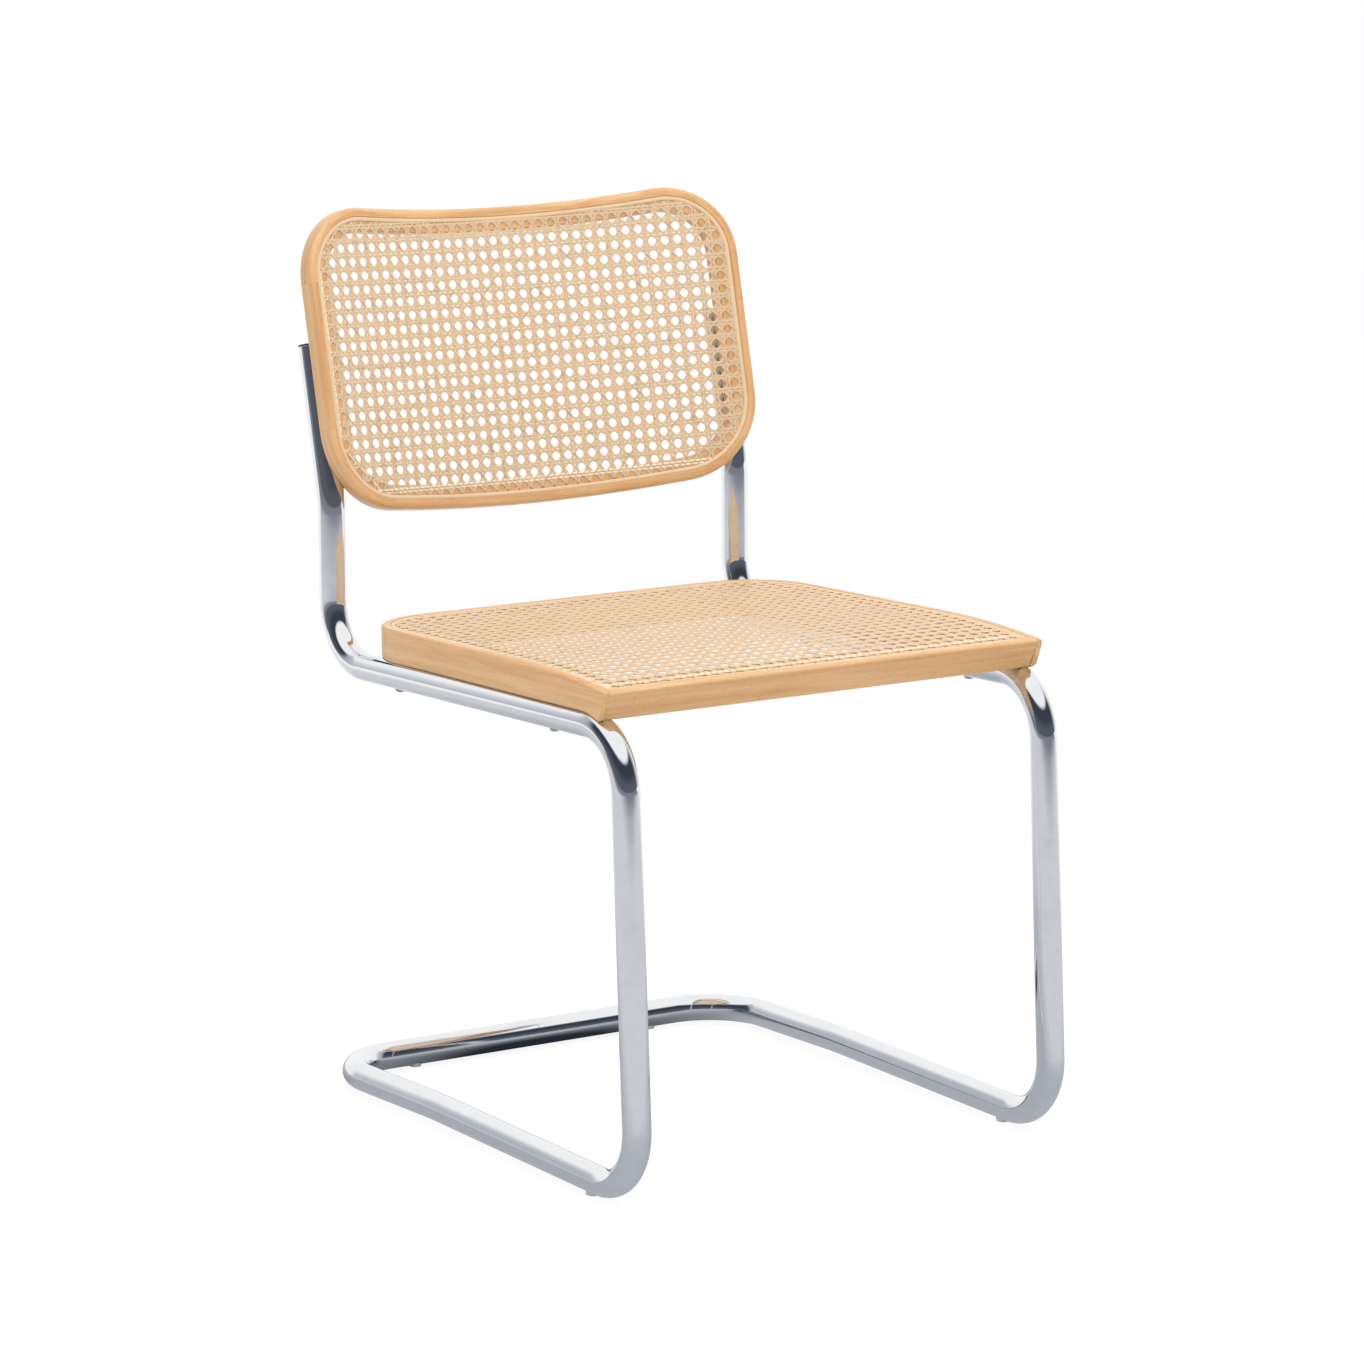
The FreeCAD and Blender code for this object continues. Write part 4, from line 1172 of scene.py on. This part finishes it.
def screw_profile(long, proud):
    """Profile of a button-head screw from its tip to its socket's floor, and its hexagonal rows.

    The head's underside is that far out from the tube's axis.
    """
    shank, point, neck = 2.5 * MM, 1.2 * MM, 2.5 * MM
    head_radius, head, under, flare, rim = 4.3 * MM, 1.4 * MM, 0.15 * MM, 0.2 * MM, 0.35 * MM
    socket, deep, lead, dish = 1.75 * MM, 1.2 * MM, 0.2 * MM, 0.1 * MM
    tip = [(PINHOLE, -long), (shank * 0.75, point - long), (shank, 2 * point - long), (shank, 0.0)]
    cap = [(head_radius - under, 0.0), (head_radius, flare)]
    for a in np.linspace(0.0, math.pi / 2, 6):
        cap.append((head_radius - (head_radius - neck) * (1 - math.cos(a)) ** 0.9,
                    rim + (head - rim) * math.sin(a)))
    hole = [(socket + lead, head), (socket, head - lead), (socket, head - deep)]
    hole.append((PINHOLE, head - deep - dish))
    profile = [(radius, height + proud) for radius, height in tip + cap + hole]
    return profile, range(len(profile) - 4, len(profile) - 1)


class ChairOperator:
    """What the chair's operators share."""

    bl_options = {"REGISTER", "UNDO"}

    def execute(self, context):
        self.make(Layout(context.scene))
        return {"FINISHED"}


class CHAIR_OT_tube_frame(ChairOperator, bpy.types.Operator):
    """Bend the chrome tube: two halves that meet in the rear bar"""

    bl_idname = "chair.tube_frame"
    bl_label = "Tube frame"

    def make(self, layout):
        for word, side in SIDES:
            shell = Shell().loft(tube_rings(layout, side), closed=True)
            shell.piece("tube_" + word, "chrome_tube", "frame_half_" + word)


class CHAIR_OT_seat_frame(ChairOperator, bpy.types.Operator):
    """Make the seat's bent rail and its front rail"""

    bl_idname = "chair.seat_frame"
    bl_label = "Seat frame"

    def make(self, layout):
        for node, maker in (("seat_bent_rail", seat_bent_rail), ("seat_front_rail", seat_front_rail)):
            rings, grain = maker(layout)
            Shell().loft(layout.in_seat(rings), grain).piece("wood_" + node, "frame_wood", node)


class CHAIR_OT_back_frame(ChairOperator, bpy.types.Operator):
    """Make the backrest's two bent rails and two stiles"""

    bl_idname = "chair.back_frame"
    bl_label = "Backrest frame"

    def make(self, layout):
        routes = {
            "back_bottom_rail": back_corner_rail(layout, False),
            "back_top_rail": back_corner_rail(layout, True),
            "back_stile_left": back_stile(layout, -1),
            "back_stile_right": back_stile(layout, 1),
        }
        for number, (node, (route, inward)) in enumerate(routes.items()):
            rings, grain = back_rail(layout, route, inward, (5.0 + 1.7 * number, 0.2 * number, 0.4))
            Shell().loft(layout.in_back(rings), grain).piece("wood_" + node, "frame_wood", node)


class CHAIR_OT_cane(ChairOperator, bpy.types.Operator):
    """Weave the seat and the backrest: pairs both ways and two sets of diagonals"""

    bl_idname = "chair.cane"
    bl_label = "Woven cane"

    def make(self, layout):
        for word, weave in (("seat", seat_weave(layout)), ("back", back_weave(layout))):
            shells = {
                "upright_pairs": weave.pairs(True),
                "level_pairs": weave.pairs(False),
                "rising_diagonals": weave.diagonals(1),
                "falling_diagonals": weave.diagonals(-1),
            }
            for name, shell in shells.items():
                shell.piece(f"cane_{word}_{name}", "cane", word + "_cane")


class CHAIR_OT_splines(ChairOperator, bpy.types.Operator):
    """Press the reed splines into their grooves"""

    bl_idname = "chair.splines"
    bl_label = "Reed splines"

    def make(self, layout):
        for node, maker in (("seat_spline", seat_spline), ("back_spline", back_spline)):
            Shell().loft(*maker(layout), closed=True).piece("reed_" + node, "spline_reed", node)


class CHAIR_OT_plugs(ChairOperator, bpy.types.Operator):
    """Close the uprights with plastic plugs"""

    bl_idname = "chair.plugs"
    bl_label = "End plugs"

    def make(self, layout):
        radius, bore = layout.radius - 0.2 * MM, layout.radius - layout.tube.wall - 0.1 * MM
        deep, lead, taper, head, dome = 16 * MM, 1.5 * MM, 1 * MM, 1.8 * MM, 0.03 * MM
        rim_inset, rim_depth = rounding(1.1 * MM)
        profile = [(PINHOLE, -deep), (bore - taper, -deep), (bore, lead - deep), (bore, 0.0), (radius, 0.0)]
        profile += [*zip(radius - rim_inset, head - rim_depth)]
        profile += [(radius / 2, head + dome * 2 / 3), (PINHOLE, head + dome)]
        for word, side in SIDES:
            top = layout.tube_corners(side)[0]
            rings = turned(profile, axes_on(top, layout.upright, (1, 0, 0)), around=64)
            Shell().loft(rings).piece("plug_" + word, "plug_plastic", "end_plug_" + word)


class CHAIR_OT_glides(ChairOperator, bpy.types.Operator):
    """Set the four glides under the runners and the rear bar"""

    bl_idname = "chair.glides"
    bl_label = "Floor glides"

    def make(self, layout):
        tube = layout.tube
        from_foot, from_side, radius = 72.0 * MM, 90.0 * MM, 6.0 * MM
        into_tube, rim, shoulder = 2.2 * MM, 0.4 * MM, 1 * MM
        rise = tube.runner_lift * from_foot / tube.runner_to_kink
        foot_inset, foot_rise = rounding(1.2 * MM)
        foot = [(PINHOLE, 0.0), *zip((radius - foot_inset)[::-1], foot_rise[::-1])]
        for word, side in SIDES:
            spots = {
                "front": ((side * layout.half, layout.foot_y + from_foot, 0), rise, (0, 1, 0)),
                "rear": ((side * (layout.half - from_side), layout.bar_y, 0), 0.0, (1, 0, 0)),
            }
            for end, (origin, lift, along) in spots.items():
                height = tube.floor_gap + into_tube + lift
                centre = layout.bar_z + lift
                top = [(r, height) for r in np.linspace(radius - shoulder, PINHOLE, 8)]
                profile = foot + [(radius, height - rim), (radius - rim, height)] + top

                def saddle(x, h):
                    return np.minimum(h, centre - tube_height(layout.radius, x) - CLEAR)

                rings = turned(profile, axes_on(origin, (0, 0, 1), along), saddle)
                name = f"{end}_{word}"
                Shell().loft(rings).piece("glide_" + name, "glide_plastic", "floor_glide_" + name)


class CHAIR_OT_fixings(ChairOperator, bpy.types.Operator):
    """Drive the wood screws with their saddle washers, and the splice's set screws"""

    bl_idname = "chair.fixings"
    bl_label = "Screws and washers"

    def make(self, layout):
        seat, back = layout.seat, layout.back
        proud = layout.radius + 0.4 * MM
        down, along = (layout.in_seat(way) - layout.rail_rear for way in ((0, 0, -1), (0, 1, 0)))
        rearward = layout.in_back((0, 1, 0)) - layout.kink
        seat_places = (layout.seat_front + seat.screw_front, layout.seat_back - seat.screw_rear)
        both = [side * layout.half for _, side in SIDES]
        sets = {
            "seat": (40.0 * MM, [axes_on(layout.in_seat((x, y, 0)), down, along)
                                 for x in both for y in seat_places]),
            "back": (36.0 * MM, [axes_on(layout.in_back((x, 0, z)), rearward, layout.upright)
                                 for x in both for z in (back.screw_low, back.screw_high)]),
        }
        for word, (long, places) in sets.items():
            screws, washers = Shell(), Shell()
            profile, hexes = screw_profile(long, proud)
            for place in places:
                screws.loft(turned(profile, place, hexes=hexes))
                washers.loft(self.washer(layout, place, proud), closed=True)
            screws.piece(word + "_button_screws", "steel", word + "_screws")
            washers.piece(word + "_washers", "steel", word + "_saddle_washers")
        self.set_screws(layout)

    def washer(self, layout, place, proud):
        """A saddle washer: flat under the screw's head, and hollowed to the tube on the other side."""
        bore, rim, edge, deep = 2.6 * MM, 5.0 * MM, 0.3 * MM, 2.4 * MM
        low = proud - deep
        steps = np.linspace(bore, rim, 7)
        profile = [(r, proud) for r in steps[:-1]] + [(rim - edge, proud), (rim, proud - edge)]
        profile += [(r, low) for r in steps[::-1]]

        def saddle(x, h):
            return np.where(h > low + TINY, h, np.maximum(h, tube_height(layout.radius, x) + CLEAR))

        return turned(profile, place, saddle)

    def set_screws(self, layout):
        """The splice's two set screws, a little under the tube's skin, with their sockets."""
        aside, shank, long, sunk = 25.0 * MM, 2.5 * MM, 7.0 * MM, 0.2 * MM
        point, bevel, socket, deep, lead = 0.6 * MM, 0.5 * MM, 1.45 * MM, 2.6 * MM, 0.15 * MM
        profile = [
            (PINHOLE, -long), (shank - point, -long), (shank, point - long),
            (shank, -sunk - bevel), (shank - bevel, -sunk), (socket + lead, -sunk),
            (socket, -2 * sunk), (socket, -deep), (PINHOLE, -deep - sunk),
        ]
        screws = Shell()
        for _, side in SIDES:
            origin = (side * aside, layout.bar_y, layout.bar_z - layout.radius)
            screws.loft(turned(profile, axes_on(origin, (0, 0, -1), (1, 0, 0)), hexes=(5, 6, 7)))
        screws.piece("socket_set_screws", "steel", "splice_set_screws")


class CHAIR_OT_hidden_fittings(ChairOperator, bpy.types.Operator):
    """Give the sleeve and the dowels their finish"""

    bl_idname = "chair.hidden_fittings"
    bl_label = "Hidden fittings"

    def make(self, layout):
        slots = {"rear_bar_sleeve": "steel", "seat_dowels": "dowel_wood", "back_dowels": "dowel_wood"}
        for node, slot in slots.items():
            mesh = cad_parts[node].data
            mesh.materials.clear()
            mesh.materials.append(finish_for(slot))


class CHAIR_OT_stage(ChairOperator, bpy.types.Operator):
    """Set up the floor, the soft lights, the surroundings and the camera"""

    bl_idname = "chair.stage"
    bl_label = "Stage"

    def make(self, layout):
        self.floor()
        self.surroundings()
        self.lights()
        self.camera()
        bpy.context.scene.view_settings.view_transform = "Standard"

    def floor(self):
        """A wide white floor that keeps part of the chair's shadow.

        The chrome sees other tones in it: a painted shadow right under the rear bar, painted shade round
        it under the chair, paler further out, darker again past three metres, and white behind the chair.
        """
        reach, under_bar = 40.0, 0.222
        mesh = bpy.data.meshes.new("floor")
        mesh.from_pydata([(-reach, -reach, 0), (reach, -reach, 0), (reach, reach, 0), (-reach, reach, 0)],
                         [], [(0, 1, 2, 3)])
        f = Finish(bpy.data.materials.new("floor"))
        x, y, _ = f.split(f.place())
        away = (x * x + y * y).root()
        behind_bar = y - under_bar
        at_bar = (x * x * 0.06 + behind_bar * behind_bar).root()
        beyond = x * LOOK[0] + y * LOOK[1]
        # Painted shadow for the chrome: dark near the rear bar and grey round the chair stand in for the
        # floor's shade under it
        mirrored_with_painted_shade = f.mix(at_bar.spread(0.02, 0.07), (0.02, 0.025, 0.035), (0.44, 0.46, 0.50))
        mirrored_with_painted_shade = f.mix(away.spread(0.3, 0.9), mirrored_with_painted_shade, (0.68, 0.69, 0.72))
        mirrored_with_painted_shade = f.mix(away.spread(3.0, 5.0), mirrored_with_painted_shade, (0.22, 0.23, 0.27))
        mirrored_with_painted_shade = f.mix(beyond.spread(0.45, 1.1), mirrored_with_painted_shade, WHITE)
        lit = f.node("ShaderNodeBsdfDiffuse", {}, {"Color": (0.9, 0.9, 0.9)})
        white = f.light("ShaderNodeEmission", WHITE, 1.09)
        paper = f.either(f.seen_by("Is Camera Ray") * 0.82, lit, white)
        reflected = f.light("ShaderNodeEmission", mirrored_with_painted_shade)
        both = f.either(f.seen_by("Is Glossy Ray"), paper, reflected)
        f.node("ShaderNodeOutputMaterial", {}, {"Surface": both})
        mesh.materials.append(f.owner)
        placed("floor", mesh)

    def surroundings(self):
        """White to the camera and even light to matt surfaces.

        The chrome sees a room instead: a white ceiling, dark walls in front, a grey wall at the side,
        and a white wall behind the chair.
        """
        world = bpy.data.worlds.new("studio")
        bpy.context.scene.world = world
        f = Finish(world)
        x, y, height = f.split(f.node("ShaderNodeTexCoord", output="Generated"))
        beyond = x * LOOK[0] + y * LOOK[1]
        walls = f.mix(height.above(0.24, 0.16), (0.10, 0.11, 0.14), (0.04, 0.05, 0.07))
        walls = f.mix(beyond.above(0.20, 0.12), walls, (0.50, 0.52, 0.56))
        walls = f.mix(beyond.above(0.47, 0.12), walls, WHITE)
        room = f.light("ShaderNodeBackground", f.mix(height.above(0.64, 0.06), walls, WHITE))
        even = f.light("ShaderNodeBackground", WHITE, 0.66)
        white = f.light("ShaderNodeBackground", WHITE)
        lit = f.either(f.seen_by("Is Glossy Ray"), even, room)
        both = f.either(f.seen_by("Is Camera Ray"), lit, white)
        f.node("ShaderNodeOutputWorld", {}, {"Surface": both})

    def lights(self):
        """A wide soft light over the chair and a lower one from the front left, unseen by the chrome."""
        target = Vector((0, 0, 0.4))
        for name, place, wide, power in (
            ("overhead", (0.3, -0.4, 2.6), 2.6, 41.0),
            ("front_left", (-2.6, -2.2, 1.5), 1.8, 24.0),
        ):
            lamp = bpy.data.lights.new(name, "AREA")
            lamp.size = wide
            lamp.energy = power
            made = placed(name, lamp)
            made.location = place
            made.rotation_euler = (target - Vector(place)).to_track_quat("-Z", "Y").to_euler()
            made.visible_glossy = False

    def camera(self):
        """The photograph's view: a long lens from the front left, a little above the seat."""
        heading, pitch, roll = (math.radians(angle) for angle in (33.96, 11.29, 0.5))
        picture, focal, sensor = 1364.0, 5725.0, 36.0
        level = Vector((math.sin(heading), math.cos(heading), 0)) * math.cos(pitch)
        forward = level - Vector((0, 0, math.sin(pitch)))
        right = forward.cross(Vector((0, 0, 1))).normalized()
        up = right.cross(forward)
        turned_right = right * math.cos(roll) + up * math.sin(roll)
        turned_up = up * math.cos(roll) - right * math.sin(roll)
        data = bpy.data.cameras.new("camera")
        data.sensor_width = sensor
        data.lens = focal / picture * sensor
        data.clip_start, data.clip_end = 0.1, 200.0
        made = placed("camera", data)
        made.matrix_world = Matrix((turned_right, turned_up, -forward)).transposed().to_4x4()
        made.location = (-2.8021, -4.1844, 1.3935)
        bpy.context.scene.camera = made


OPERATORS = (
    CHAIR_OT_tube_frame,
    CHAIR_OT_seat_frame,
    CHAIR_OT_back_frame,
    CHAIR_OT_cane,
    CHAIR_OT_splines,
    CHAIR_OT_plugs,
    CHAIR_OT_glides,
    CHAIR_OT_fixings,
    CHAIR_OT_hidden_fittings,
    CHAIR_OT_stage,
)
GROUPS = {
    "chair_tube": TubeSizes,
    "chair_seat": SeatSizes,
    "chair_back": BackSizes,
    "chair_cane": CaneSizes,
    "chair_colours": ChairColours,
}


class CHAIR_PT_panel(bpy.types.Panel):
    """Lists the chair's pieces in the sidebar."""

    bl_idname = "CHAIR_PT_panel"
    bl_label = "Cantilever chair"
    bl_space_type = "VIEW_3D"
    bl_region_type = "UI"
    bl_category = "Chair"

    def draw(self, context):
        column = self.layout.column()
        for operator in OPERATORS:
            column.operator(operator.bl_idname)
        for name, group in GROUPS.items():
            box = self.layout.box()
            box.label(text=group.__doc__)
            for key in group.__annotations__:
                box.prop(getattr(context.scene, name), key)


CLASSES = (*GROUPS.values(), *OPERATORS, CHAIR_PT_panel)


def register():
    for item in CLASSES:
        bpy.utils.register_class(item)
    for name, group in GROUPS.items():
        setattr(bpy.types.Scene, name, PointerProperty(type=group))


def unregister():
    for name in GROUPS:
        delattr(bpy.types.Scene, name)
    for item in reversed(CLASSES):
        bpy.utils.unregister_class(item)


def main():
    """Register the add-on and make every piece in turn."""
    register()
    for operator in OPERATORS:
        group, name = operator.bl_idname.split(".")
        getattr(getattr(bpy.ops, group), name)()
    bpy.context.view_layer.update()


if __name__ == "__main__":
    main()
